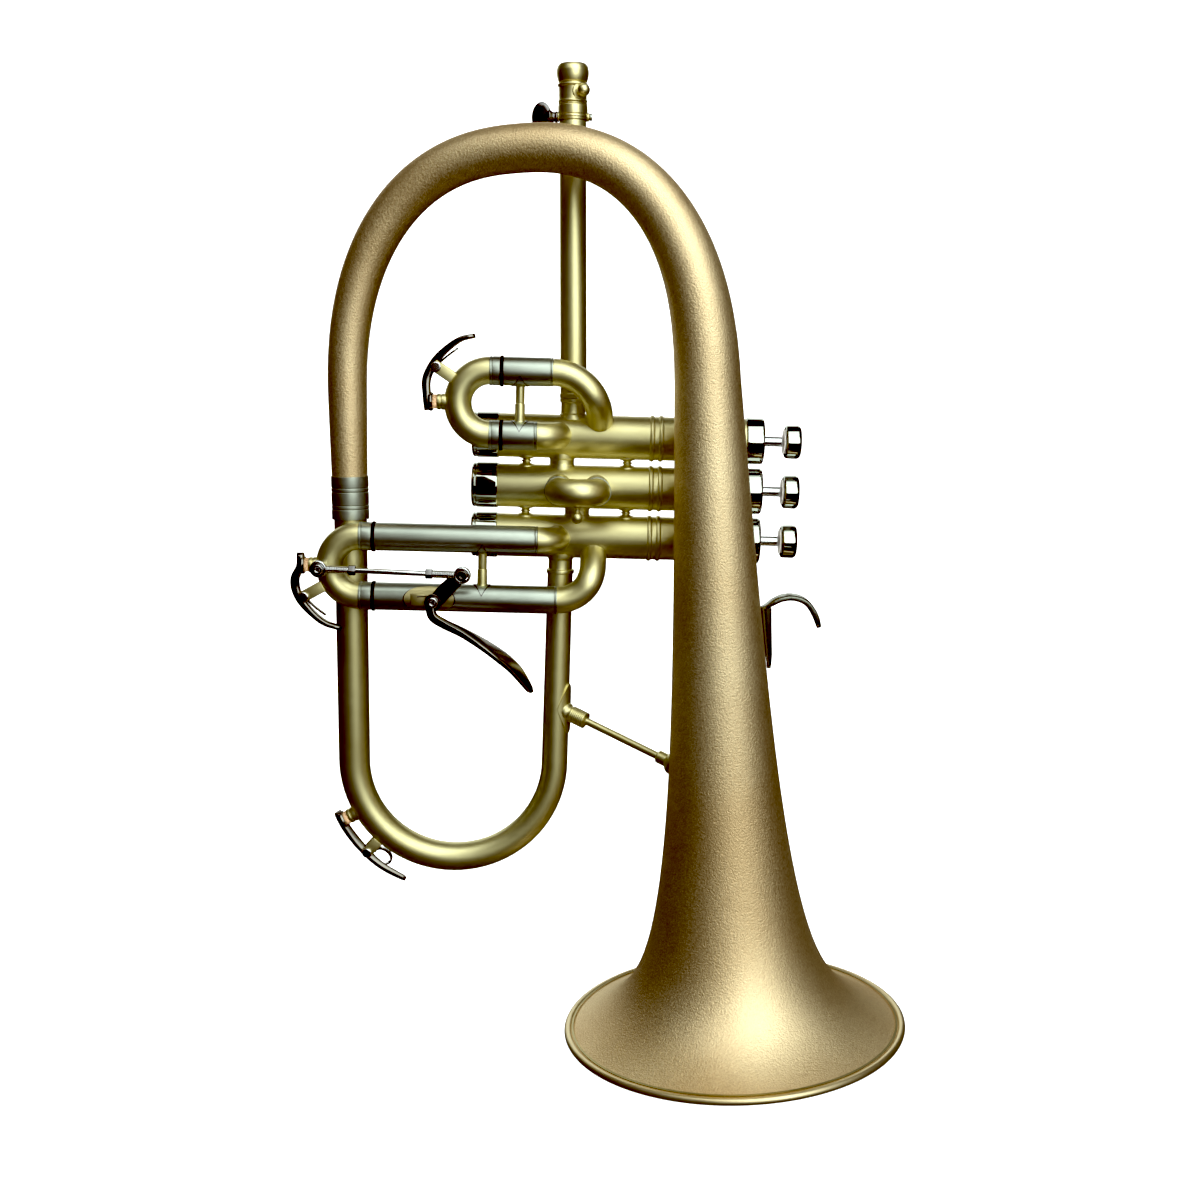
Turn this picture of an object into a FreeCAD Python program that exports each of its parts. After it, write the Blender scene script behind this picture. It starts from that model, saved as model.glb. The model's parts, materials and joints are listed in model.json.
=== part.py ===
import FreeCAD, Part
import math
import os
import re
from FreeCAD import Placement, Rotation, Vector

# Flugelhorn standing on its bell. Row frame: origin at the centre of the bell mouth,
# Z up along the bell axis, X towards the finger buttons, Y away from the player's right side.

DIMENSIONS = {
    # bell and bow
    "bell_diameter": 152.4,
    "rim_bead": 3.2,
    "rim_land_depth": 0.1,
    "bell_wall": 0.6,
    "bow_spring_height": 288.3,
    "bow_rise": 100.3,
    # tubes
    "tube_bore": 10.4,
    "elbow_od": 11.6,
    "sleeve_od": 12.2,
    "sleeve_bore": 11.4,
    "leg_od": 11.3,
    "crook_od": 12.0,
    "collar_od": 12.7,
    "ring_od": 13.4,
    "link_od": 10.8,
    "leadpipe_od": 11.7,
    "leadpipe_bore": 10.7,
    "mouthpipe_od": 10.6,
    "mouthpipe_bore": 9.2,
    "mouthpipe_length": 82.0,
    "receiver_seat": 9.9,
    "receiver_od": 12.2,
    "receiver_bulb_od": 14.0,
    "receiver_knob_od": 4.6,
    "clamp_boss_od": 6.4,
    "clamp_screw_od": 3.0,
    "paddle_height": 13.0,
    "paddle_width": 8.8,
    "paddle_thick": 2.2,
    "ferrule_od": 17.4,
    "ferrule_lower_bore": 15.1,
    "ferrule_upper_bore": 16.18,
    "ferrule_top_bore": 16.66,
    # valves
    "valve_spacing": 22.46,
    "casing_od": 19.4,
    "casing_bore": 16.9,
    "casing_length": 114.4,
    "piston_od": 16.8,
    "piston_length": 54.0,
    "valve_travel": 13.0,
    "cap_od": 20.6,
    "stem_od": 4.4,
    "stem_hole": 5.0,
    "button_od": 15.0,
    "button_thick": 7.2,
    "spring_wire": 0.8,
    "spring_od": 13.0,
    # slides
    "slide_offset": 17.0,
    "slide_1_upper": 50.9,
    "slide_1_lower": 23.2,
    "slide_3_upper": -22.7,
    "slide_3_lower": -49.25,
    "slide_2_half": 8.3,
    # keys, braces and small fittings
    "nipple_od": 7.0,
    "cork_od": 6.6,
    "solder_gap": 0.1,
    "key_strip": 1.4,
    "key_width": 4.0,
    "key_pin": 1.6,
    "brace_rod": 3.4,
    "brace_collar": 6.6,
    "stay_rod": 3.6,
    "hook_strip": 2.3,
    "hook_width": 8.0,
    "trigger_strip": 2.4,
    "trigger_rod_od": 2.1,
    "ball_ring_od": 7.4,
    "ball_stud": 2.4,
    "ball_ring_bore": 5.1,
}

VALVE_TILT = 4.4
PIPE_TILT = 2.956
DEPTH = 38.0
ROW = Placement()
VALVES = Placement(Vector(-57.36, DEPTH, 242.72), Rotation(Vector(0, 1, 0), VALVE_TILT))
PIPES = Placement(Vector(-71.80, DEPTH, 0), Rotation(Vector(0, 1, 0), PIPE_TILT))

X = Vector(1, 0, 0)
Y = Vector(0, 1, 0)
Z = Vector(0, 0, 1)

doc = FreeCAD.newDocument("flugelhorn")
sheet = doc.addObject("Spreadsheet::Sheet", "Dims")
for row, (alias, value) in enumerate(DIMENSIONS.items(), start=1):
    sheet.set(f"A{row}", alias)
    sheet.set(f"B{row}", str(value))
    sheet.setAlias(f"B{row}", alias)
doc.recompute()
nodes = []


def size(alias):
    """Value of one driving dimension."""
    return DIMENSIONS[alias]


def bind(part, prop, formula):
    """Tie a property to a formula whose words are aliases of the sheet."""
    part.setExpression(prop, re.sub(r"[a-z][a-z_0-9]*", lambda word: "Dims." + word.group(), formula))


def facing(start, direction, across=Y):
    """Placement at start whose local Z points along direction, without twist."""
    along = Vector(direction).normalize()
    side = across.cross(along)
    if side.Length < 0.01:
        side = X.cross(along)
    side.normalize()
    return Placement(Vector(start), Rotation(side, along.cross(side), along, "ZXY"))


# ---------------------------------------------------------------- building blocks

def rod(name, diameter, length, start, direction):
    """Solid cylinder; diameter and length are formulas of the sheet."""
    part = doc.addObject("Part::Cylinder", name)
    bind(part, "Radius", f"({diameter}) / 2")
    bind(part, "Height", length)
    part.Placement = facing(start, direction)
    return part


def cone(name, diameter, end_diameter, length, start, direction):
    """Solid cone frustum; its sizes are formulas of the sheet."""
    part = doc.addObject("Part::Cone", name)
    bind(part, "Radius1", f"({diameter}) / 2")
    bind(part, "Radius2", f"({end_diameter}) / 2")
    bind(part, "Height", length)
    part.Placement = facing(start, direction)
    return part


def torus(name, ring_diameter, wire_diameter, centre, direction):
    """Round ring about an axis."""
    part = doc.addObject("Part::Torus", name)
    bind(part, "Radius1", f"({ring_diameter}) / 2")
    bind(part, "Radius2", f"({wire_diameter}) / 2")
    part.Placement = facing(centre, direction)
    return part


def block(name, length, width, height, centre, turn=0.0):
    """Box about its centre, turned about Y."""
    part = doc.addObject("Part::Box", name)
    bind(part, "Length", length)
    bind(part, "Width", width)
    bind(part, "Height", height)
    rotation = Rotation(Y, turn)
    doc.recompute([part])
    half = Vector(part.Length.Value / 2, part.Width.Value / 2, part.Height.Value / 2)
    part.Placement = Placement(Vector(centre) - rotation.multVec(half), rotation)
    return part


def fuse(name, parts):
    """Join solids."""
    if len(parts) == 1:
        return parts[0]
    joined = doc.addObject("Part::MultiFuse", name)
    joined.Shapes = parts
    return joined


def cut(name, base, tools):
    """Take the tools away from the base."""
    result = doc.addObject("Part::Cut", name)
    result.Base = base
    result.Tool = fuse(name + "_tools", tools)
    return result


def group(name, parts):
    """Separate solids that share one node."""
    result = doc.addObject("Part::Compound", name)
    result.Links = parts
    return result


def node(label, part, frame=ROW):
    """Give a finished sub-part its label and its place, and list it for export."""
    part.Label = label
    part.Placement = frame.multiply(part.Placement)
    nodes.append(part)
    return part


def tube(name, outer, inner, length, start, direction):
    """Straight tube with open ends."""
    overrun = 1.0
    along = Vector(direction).normalize()
    wall = rod(name + "_wall", outer, length, start, along)
    hole = rod(name + "_hole", inner, f"{length} + {2 * overrun}", Vector(start) - along * overrun, along)
    return cut(name + "_tube", wall, [hole])


def route(name, points, bend):
    """Wire through the points with every corner rounded to the bend radius."""
    corners = [Vector(point) for point in points]
    edges = []
    start = corners[0]
    for before, corner, after in zip(corners, corners[1:], corners[2:]):
        inward = (before - corner).normalize()
        outward = (after - corner).normalize()
        half_angle = inward.getAngle(outward) / 2
        reach = bend / math.tan(half_angle)
        arc_start = corner + inward * reach
        arc_end = corner + outward * reach
        middle = (inward + outward).normalize()
        arc_middle = corner + middle * (bend / math.sin(half_angle) - bend)
        if (arc_start - start).Length > 0.01:
            edges.append(Part.LineSegment(start, arc_start).toShape())
        edges.append(Part.Arc(arc_start, arc_middle, arc_end).toShape())
        start = arc_end
    if (corners[-1] - start).Length > 0.01:
        edges.append(Part.LineSegment(start, corners[-1]).toShape())
    wire = doc.addObject("Part::Feature", name + "_route")
    wire.Shape = Part.Wire(edges)
    return wire


def swept(name, diameter, wire, first, heading):
    """Round bar swept along a wire from its first point."""
    profile = doc.addObject("Part::Circle", name + "_profile")
    bind(profile, "Radius", f"({diameter}) / 2")
    profile.Placement = facing(first, heading)
    bar = doc.addObject("Part::Sweep", name + "_bar")
    bar.Sections = [profile]
    bar.Spine = (wire, [f"Edge{number}" for number in range(1, len(wire.Shape.Edges) + 1)])
    bar.Solid = True
    bar.Frenet = False
    return bar


def pipe(name, outer, inner, points, bend):
    """Bent tube of constant size along rounded corners."""
    wire = route(name, points, bend)
    first = Vector(points[0])
    heading = Vector(points[1]) - first
    outside = swept(name + "_outer", outer, wire, first, heading)
    inside = swept(name + "_inner", inner, wire, first, heading)
    return cut(name + "_pipe", outside, [inside])


def horn_wall(name, stations, wall):
    """Tapered tube lofted through (point, tangent, radius) stations."""
    skins = []
    for skin, inset in (("outer", 0.0), ("inner", wall)):
        circles = []
        for index, (point, tangent, radius) in enumerate(stations):
            circle = doc.addObject("Part::Circle", f"{name}_{skin}_{index}")
            circle.Radius = radius - inset
            circle.Placement = facing(point, tangent)
            circles.append(circle)
        loft = doc.addObject("Part::Loft", f"{name}_{skin}")
        loft.Sections = circles
        loft.Solid = True
        loft.Ruled = False
        skins.append(loft)
    return cut(name + "_wall", skins[0], [skins[1]])


def straight_wall(name, start, end, radius, end_radius, wall):
    """Straight tapered tube between two points."""
    along = end - start
    length = f"{along.Length}"
    outer = cone(name + "_outer", f"{2 * radius}", f"{2 * end_radius}", length, start, along)
    inner = cone(name + "_inner", f"{2 * (radius - wall)}", f"{2 * (end_radius - wall)}", length, start, along)
    return cut(name + "_wall", outer, [inner])


def ribbon(name, points, thickness, width, depth):
    """Flat strip that follows a smooth line in the XZ plane, width across Y about a depth."""
    spline = Part.BSplineCurve()
    spline.interpolate([Vector(px, 0, pz) for px, pz in points])
    first, last = spline.FirstParameter, spline.LastParameter
    steps = 4 * len(points)
    sides = [[], []]
    for step in range(steps + 1):
        parameter = first + (last - first) * step / steps
        place = spline.value(parameter)
        normal = Y.cross(Vector(*spline.tangent(parameter)[0])).normalize()
        sides[0].append(place + normal * thickness / 2)
        sides[1].append(place - normal * thickness / 2)
    curves = []
    for side in sides:
        edge = Part.BSplineCurve()
        edge.interpolate(side)
        curves.append(edge.toShape())
    caps = [Part.LineSegment(sides[0][end], sides[1][end]).toShape() for end in (0, -1)]
    outline = Part.Wire(Part.__sortEdges__(curves + caps))
    face = doc.addObject("Part::Feature", name + "_outline")
    face.Shape = Part.Face(outline)
    strip = doc.addObject("Part::Extrusion", name + "_strip")
    strip.Base = face
    strip.Dir = Y
    strip.DirMode = "Custom"
    bind(strip, "LengthFwd", width)
    strip.Solid = True
    strip.Placement = Placement(Vector(0, depth - size(width) / 2, 0), Rotation())
    return strip


def casing_tools(name, diameter="casing_od"):
    """Three long cylinders on the valve axes, used to trim whatever meets a casing."""
    tools = []
    for number in (1, 2, 3):
        start = Vector(-100, 0, valve_height(number))
        tools.append(rod(f"{name}_trim_{number}", diameter, "casing_length * 2", start, X))
    return tools


def valve_height(number):
    """Height of a valve axis in the valve frame."""
    return (2 - number) * size("valve_spacing")


# ---------------------------------------------------------------- bell and bow

def bell_radius(height):
    """Outer radius of the bell at a height above its mouth."""
    straight = 26.305 - 0.043068 * height
    return straight + 28.586 * math.exp(-height / 11.219) + 23.884 * math.exp(-height / 54.942)


FERRULE_HEIGHT = 243.0


def make_bell():
    """Flared bell, its rolled rim and the flat land that it rests on."""
    wall = size("bell_wall")
    bead = size("rim_bead") / 2
    bead_height = bead - size("rim_land_depth")
    top = size("bow_spring_height")
    heights = [bead_height + (top - bead_height) * (step / 16) ** 2.4 for step in range(17)]
    outer_points = [Vector(bell_radius(height), 0, height) for height in heights]
    outer = Part.BSplineCurve()
    outer.interpolate(outer_points)
    inner_points = []
    for index, height in enumerate(heights):
        slope = (bell_radius(height + 0.01) - bell_radius(height)) / 0.01
        normal = Vector(1, 0, -slope).normalize()
        inner_points.append(outer_points[index] - normal * wall)
    inner_points[-1].z = top
    inner = Part.BSplineCurve()
    inner.interpolate(inner_points)
    ends = [Part.LineSegment(outer_points[end], inner_points[end]).toShape() for end in (0, -1)]
    outline = Part.Wire(Part.__sortEdges__([outer.toShape(), inner.toShape()] + ends))
    flare = doc.addObject("Part::Feature", "bell_flare_body")
    flare.Shape = Part.Face(outline).revolve(Vector(), Z, 360)
    node("bell_flare", flare)
    rim = torus("bell_bead", "bell_diameter - rim_bead", "rim_bead", Vector(0, 0, bead_height), Z)
    floor = rod("rim_floor", "bell_diameter * 2", "bell_diameter", (0, 0, -size("bell_diameter")), Z)
    node("bell_rim", cut("bell_rim_cut", rim, [floor, flare]))


def tube_line(height):
    """Axis of the left tube, which leans with the mouthpipe."""
    return Vector(-173.33 + math.tan(math.radians(PIPE_TILT)) * height, DEPTH, height)


def bow_point(angle):
    """Centre line of the big bow: a squared arch from the left tube to the bell."""
    spring = size("bow_spring_height")
    left = tube_line(spring)
    squareness = 2.317 if angle < math.pi / 2 else 2.426
    across = -math.cos(angle)
    across = math.copysign(abs(across) ** (2 / squareness), across)
    rise = size("bow_rise") * math.sin(angle) ** (2 / squareness)
    share = (1 - across) / 2
    lean = math.tan(math.radians(PIPE_TILT)) * rise
    return Vector((left.x + lean) * share, DEPTH * share, spring + rise)


def make_bow():
    """Big bow between the ferrule and the bell."""
    ferrule = tube_line(FERRULE_HEIGHT)
    spring = tube_line(size("bow_spring_height"))
    wall = size("bell_wall")
    radii = [9.05, 10.28, 14.01]
    straight = straight_wall("bow_straight", ferrule, spring, 8.05, radii[0], wall)
    stations = [(spring, spring - ferrule, radii[0])]
    count = 14
    for step in range(1, count):
        angle = math.pi * step / count
        tangent = (bow_point(angle + 0.01) - bow_point(angle - 0.01)).normalize()
        share = step / count
        if share < 0.5:
            radius = radii[0] + (radii[1] - radii[0]) * share / 0.5
        else:
            radius = radii[1] + (radii[2] - radii[1]) * ((share - 0.5) / 0.5) ** 1.5
        stations.append((bow_point(angle), tangent, radius))
    stations.append((Vector(0, 0, size("bow_spring_height")), Z * -1, radii[2]))
    node("bell_bow", fuse("bow_joined", [straight, horn_wall("bow", stations, wall)]))


def make_ferrule():
    """Nickel ferrule that joins the lower crook to the bow."""
    middle = tube_line(FERRULE_HEIGHT)
    lean = (tube_line(FERRULE_HEIGHT + 1) - middle).normalize()
    half = 9.35
    body = rod("ferrule_body", "ferrule_od", f"{2 * half}", middle - lean * half, lean)
    lower = rod("ferrule_low_hole", "ferrule_lower_bore", f"{half}", middle - lean * half, lean)
    upper = cone("ferrule_high_hole", "ferrule_upper_bore", "ferrule_top_bore", f"{half + 1}", middle, lean)
    grooves = []
    for number, offset in enumerate((-4.6, -3.4, 3.4, 4.6)):
        name = f"ferrule_groove_{number}"
        start = middle + lean * offset
        grooves.append(tube(name, "ferrule_od + 2", "ferrule_od - 0.3", "0.4", start, lean))
    node("bell_ferrule", cut("ferrule_cut", body, [lower, upper] + grooves))


CROOK_CENTRE = (-54.5, -128.2)
CROOK_BEND = 46.6


def make_main_crook():
    """Lower crook from the third valve round to the left tube, growing as it goes."""
    centre = Vector(CROOK_CENTRE[0], 0, CROOK_CENTRE[1])
    bend = CROOK_BEND
    wall = size("bell_wall")
    start = Vector(PORTS[3]["below"], 0, -39.4)
    ferrule = VALVES.inverse().multVec(tube_line(FERRULE_HEIGHT))
    right = centre + X * bend
    left = centre - X * bend
    inlet = straight_wall("crook_inlet", start, right, 5.75, 6.0, wall)
    outlet = straight_wall("crook_outlet", left, ferrule, 7.25, 7.4, wall)
    count = 12
    stations = [(right, right - start, 6.0)]
    for step in range(1, count):
        angle = math.pi * step / count
        point = centre + X * (bend * math.cos(angle)) - Z * (bend * math.sin(angle))
        tangent = Vector(-math.sin(angle), 0, -math.cos(angle))
        stations.append((point, tangent, 6.0 + 1.25 * step / count))
    stations.append((left, ferrule - left, 7.25))
    node("main_crook", fuse("crook_joined", [inlet, horn_wall("crook", stations, wall), outlet]), VALVES)


# ---------------------------------------------------------------- mouthpipe

LEADPIPE_BOTTOM = 283.0
LEADPIPE_TOP = 402.0
CLAMP_BOTTOM = 402.2
CLAMP_SCREW = 403.6
RECEIVER_BOTTOM = 410.0
RECEIVER_FACE = 425.8
SEAT_DEPTH = 24.0


def make_leadpipe():
    """Fixed leadpipe, and the clamp and thumb screw at its top."""
    length = LEADPIPE_TOP - LEADPIPE_BOTTOM
    sleeve = tube("leadpipe_sleeve", "leadpipe_od", "leadpipe_bore", f"{length}", (0, 0, LEADPIPE_BOTTOM), Z)
    node("leadpipe", sleeve, PIPES)
    clamp = tube("clamp_sleeve", "leadpipe_od + 1.4", "leadpipe_bore", "7.0", (0, 0, CLAMP_BOTTOM), Z)
    boss = rod("clamp_boss", "clamp_boss_od", "2.6", (-5.9, 0, CLAMP_SCREW), X * -1)
    boss_foot = rod("clamp_boss_floor", "20", "20", (0, 0, CLAMP_BOTTOM - 20), Z)
    bore = rod("clamp_bore_trim", "leadpipe_bore", "20", (0, 0, CLAMP_BOTTOM - 5), Z)
    screw_hole = rod("clamp_screw_hole", "clamp_screw_od + 0.1", "12", (0, 0, CLAMP_SCREW), X * -1)
    clamped = fuse("clamp_joined", [clamp, boss])
    node("clamp_collar", cut("clamp_cut", clamped, [boss_foot, bore, screw_hole]), PIPES)

    shank = rod("screw_shank", "clamp_screw_od", "4.4", (-6.6, 0, CLAMP_SCREW), X * -1)
    outline = doc.addObject("Part::Ellipse", "screw_paddle_outline")
    bind(outline, "MajorRadius", "paddle_height / 2")
    bind(outline, "MinorRadius", "paddle_width / 2")
    paddle = doc.addObject("Part::Extrusion", "screw_paddle")
    paddle.Base = outline
    paddle.Dir = Z
    paddle.DirMode = "Custom"
    bind(paddle, "LengthFwd", "paddle_thick")
    paddle.Solid = True
    middle = Vector(-13.9, size("paddle_thick") / 2, CLAMP_SCREW)
    paddle.Placement = Placement(middle, Rotation(Z, X, Y * -1, "ZXY"))
    node("thumb_screw", fuse("thumb_screw_joined", [shank, paddle]), PIPES)


def make_receiver():
    """Mouthpiece receiver with its pull knob, and the pipe that slides in the leadpipe."""
    seat_bottom = RECEIVER_FACE - SEAT_DEPTH
    knob_height = RECEIVER_FACE - 12.2
    away = Vector(0.5, -0.866, 0)
    pipe_top = LEADPIPE_TOP - 3.4
    shank = rod("receiver_shank", "mouthpipe_od", "12.0", (0, 0, pipe_top), Z)
    body = rod("receiver_body", "receiver_od", "7.4", (0, 0, RECEIVER_BOTTOM), Z)
    bulb = rod("receiver_bulb", "receiver_bulb_od", "8.6", (0, 0, RECEIVER_FACE - 8.6), Z)
    knob = doc.addObject("Part::Sphere", "receiver_knob")
    bind(knob, "Radius", "receiver_knob_od / 2")
    knob.Placement = Placement(Vector(0, 0, knob_height) + away * 9.0, Rotation())
    knob_foot = rod("receiver_knob_foot", "receiver_knob_od", "7.7", (0, 0, knob_height), away)
    bore = rod("receiver_bore", "receiver_seat", f"{SEAT_DEPTH + 1}", (0, 0, seat_bottom), Z)
    throat = rod("receiver_throat", "mouthpipe_bore", "10", (0, 0, seat_bottom - 7), Z)
    waist = torus("receiver_waist", "receiver_od + 0.8", "1.2", (0, 0, RECEIVER_FACE - 8.6), Z)
    receiver = fuse("receiver_joined", [shank, body, bulb, knob_foot, knob])
    node("mouthpiece_receiver", cut("receiver_cut", receiver, [bore, throat, waist]), PIPES)
    inner = tube("mouthpipe_inner", "mouthpipe_od", "mouthpipe_bore", "mouthpipe_length",
                 (0, 0, pipe_top - size("mouthpipe_length")), Z)
    node("mouthpipe", inner, PIPES)


# ---------------------------------------------------------------- valves

CASING_BOTTOM = -38.0
CAP_BOTTOM = -47.6
CAP_TOP = 82.5
PISTON_BOTTOM = -16.0
PORTS = {
    1: {"above": -2.98, "below": -7.45, "front": (-9.1, 9.0)},
    2: {"above": -7.45, "below": -0.2, "front": (-8.3, 8.3)},
    3: {"above": -0.2, "below": -7.15, "front": (-8.9, 7.6)},
}


def port_bores(number):
    """Drills for the ways through one casing wall."""
    height = valve_height(number)
    ports = PORTS[number]
    drills = [
        rod(f"port_above_{number}", "tube_bore", "30", (ports["above"], 0, height), Z),
        rod(f"port_below_{number}", "tube_bore", "30", (ports["below"], 0, height), Z * -1),
    ]
    for place, front in zip("ab", ports["front"]):
        drills.append(rod(f"port_front_{place}_{number}", "tube_bore", "30", (front, 0, height), Y * -1))
    return drills


def make_casing(number):
    """Casing with its two baluster rings and its ports."""
    height = valve_height(number)
    body = rod(f"casing_body_{number}", "casing_od", "casing_length", (CASING_BOTTOM, 0, height), X)
    rings = []
    for place in (32.4, 36.4):
        name = f"casing_ring_{number}_{int(place)}"
        rings.append(rod(name, "casing_od + 1.0", "1.4", (place, 0, height), X))
    bore = rod(f"casing_bore_{number}", "casing_bore", "casing_length + 2", (CASING_BOTTOM - 1, 0, height), X)
    joined = fuse(f"casing_joined_{number}", [body] + rings)
    result = cut(f"casing_cut_{number}", joined, [bore] + port_bores(number))
    node(f"valve_casing_{number}", result, VALVES)


def top_cap(number):
    """Screwed cap with a dished top and a hole for the stem."""
    height = valve_height(number)
    body = rod(f"top_cap_body_{number}", "cap_od", "8.1", (CAP_TOP - 8.1, 0, height), X)
    skirt = rod(f"top_cap_skirt_{number}", "casing_od", "2.0", (CAP_TOP - 8.1, 0, height), X)
    dish = rod(f"top_cap_dish_{number}", "button_od + 1.6", "4.2", (CAP_TOP - 4.1, 0, height), X)
    hole = rod(f"top_cap_hole_{number}", "stem_hole", "12", (CAP_TOP - 9, 0, height), X)
    return cut(f"top_cap_{number}", body, [skirt, dish, hole])


def bottom_cap(number):
    """Screwed cap that closes the casing and holds the spring."""
    height = valve_height(number)
    body = rod(f"bottom_cap_body_{number}", "cap_od - 0.2", "11.8", (CAP_BOTTOM, 0, height), X)
    skirt = rod(f"bottom_cap_skirt_{number}", "casing_od", "3", (CASING_BOTTOM, 0, height), X)
    cup = rod(f"bottom_cap_cup_{number}", "casing_bore - 1", "9", (CAP_BOTTOM + 2, 0, height), X)
    vent = rod(f"bottom_cap_vent_{number}", "3", "6", (CAP_BOTTOM - 2, 0, height), X)
    return cut(f"bottom_cap_{number}", body, [skirt, cup, vent])


def make_piston(number):
    """Piston with the open way across it and the two ways that the slide uses."""
    height = valve_height(number)
    ports = PORTS[number]
    body = rod(f"piston_body_{number}", "piston_od", "piston_length", (PISTON_BOTTOM, 0, height), X)
    half = size("valve_spacing") / 2
    upper = Vector(ports["above"], 0, height + half)
    lower = Vector(ports["below"], 0, height - half)
    slant = upper - lower
    way = rod(f"piston_way_{number}", "tube_bore", "60", lower - slant * 0.5, slant)
    drills = [way]
    for place, front in zip("ab", ports["front"]):
        start = Vector(front + size("valve_travel"), -20, height)
        drills.append(rod(f"piston_slide_way_{place}_{number}", "tube_bore", "40", start, Y))
    node(f"piston_{number}", cut(f"piston_cut_{number}", body, drills), VALVES)


def make_stem(number):
    """Valve stem from the piston to the finger button, and the button."""
    height = valve_height(number)
    piston_top = PISTON_BOTTOM + size("piston_length")
    button_start = CAP_TOP + 9.6
    stem = rod(f"stem_body_{number}", "stem_od", f"{button_start - piston_top}", (piston_top, 0, height), X)
    node(f"valve_stem_{number}", stem, VALVES)
    bevel = 1.2
    disc = rod(f"button_disc_{number}", "button_od", f"button_thick - {bevel}", (button_start, 0, height), X)
    crown_start = (button_start + size("button_thick") - bevel, 0, height)
    top = f"button_od - {2 * bevel}"
    crown = cone(f"button_crown_{number}", "button_od", top, f"{bevel}", crown_start, X)
    node(f"finger_button_{number}", fuse(f"button_joined_{number}", [disc, crown]), VALVES)


def make_spring(number):
    """Compression spring between the bottom cap and the piston."""
    height = valve_height(number)
    coil_radius = (size("spring_od") - size("spring_wire")) / 2
    floor = CAP_BOTTOM + 2 + size("spring_wire") / 2 + 0.1
    ceiling = PISTON_BOTTOM - size("spring_wire") / 2 - 0.1
    helix = doc.addObject("Part::Helix", f"spring_line_{number}")
    bind(helix, "Radius", "(spring_od - spring_wire) / 2")
    helix.Height = ceiling - floor
    helix.Pitch = (ceiling - floor) / 7
    doc.recompute()
    profile = doc.addObject("Part::Circle", f"spring_profile_{number}")
    bind(profile, "Radius", "spring_wire / 2")
    profile.Placement = facing((coil_radius, 0, 0), Y, Z)
    wire = doc.addObject("Part::Sweep", f"spring_wire_{number}")
    wire.Sections = [profile]
    wire.Spine = (helix, ["Edge1"])
    wire.Solid = True
    wire.Frenet = True
    wire.Placement = facing((floor, 0, height), X)
    node(f"valve_spring_{number}", wire, VALVES)


def ringed_stub(name, start, end):
    """Short tube that leaves a casing, with a bead at its far end."""
    rise = (end - start).normalize()
    length = (end - start).Length
    stub = tube(f"{name}_stub", "link_od", "tube_bore - 0.6", f"{length}", start, rise)
    bead = tube(f"{name}_bead", "link_od + 1.6", "link_od", "1.6", end - rise * 1.7, rise)
    return fuse(f"{name}_joined", [stub, bead])


def make_links():
    """Short tubes between, into and out of the casings, and the four casing braces."""
    pitch = size("valve_spacing")
    links = []
    for number, place in ((1, PORTS[1]["below"]), (2, PORTS[2]["below"])):
        low = Vector(place, 0, valve_height(number) - pitch)
        links.append(tube(f"link_{number}", "link_od", "tube_bore - 0.6", f"{pitch}", low, Z))
    inlet = Vector(PORTS[1]["above"], 0, valve_height(1) + 7.5)
    inlet_end = VALVES.inverse().multVec(PIPES.multVec(Vector(0, 0, LEADPIPE_BOTTOM - 0.25)))
    outlet = Vector(PORTS[3]["below"], 0, valve_height(3) - 7.5)
    links.append(ringed_stub("inlet", inlet, inlet_end))
    links.append(ringed_stub("outlet", outlet, Vector(outlet.x, 0, -39.4)))
    node("valve_links", cut("valve_links_cut", group("links_group", links), casing_tools("link")), VALVES)

    braces = []
    for number in (1, 2):
        for place in (-23.4, 21.9):
            low = Vector(place, 0, valve_height(number) - pitch)
            braces.append(rod(f"casing_brace_{number}_{int(place)}", "stay_rod", f"{pitch}", low, Z))
    node("casing_braces", cut("braces_cut", group("braces_group", braces), casing_tools("brace")), VALVES)


# ---------------------------------------------------------------- slides

FIRST = {"name": "first", "upper": "slide_1_upper", "lower": "slide_1_lower", "bend_centre": -39.2,
         "collar_end": -34.8, "ring_end": -33.3, "upper_end": -11.8, "lower_end": -18.4}
THIRD = {"name": "third", "upper": "slide_3_upper", "lower": "slide_3_lower", "bend_centre": -95.7,
         "collar_end": -91.2, "ring_end": -88.7, "upper_end": -17.2, "lower_end": -8.1}


def leg_points(slide):
    """The two leg axes of a slide as (height, sleeve end) pairs."""
    return [(size(slide["upper"]), slide["upper_end"]), (size(slide["lower"]), slide["lower_end"])]


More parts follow.
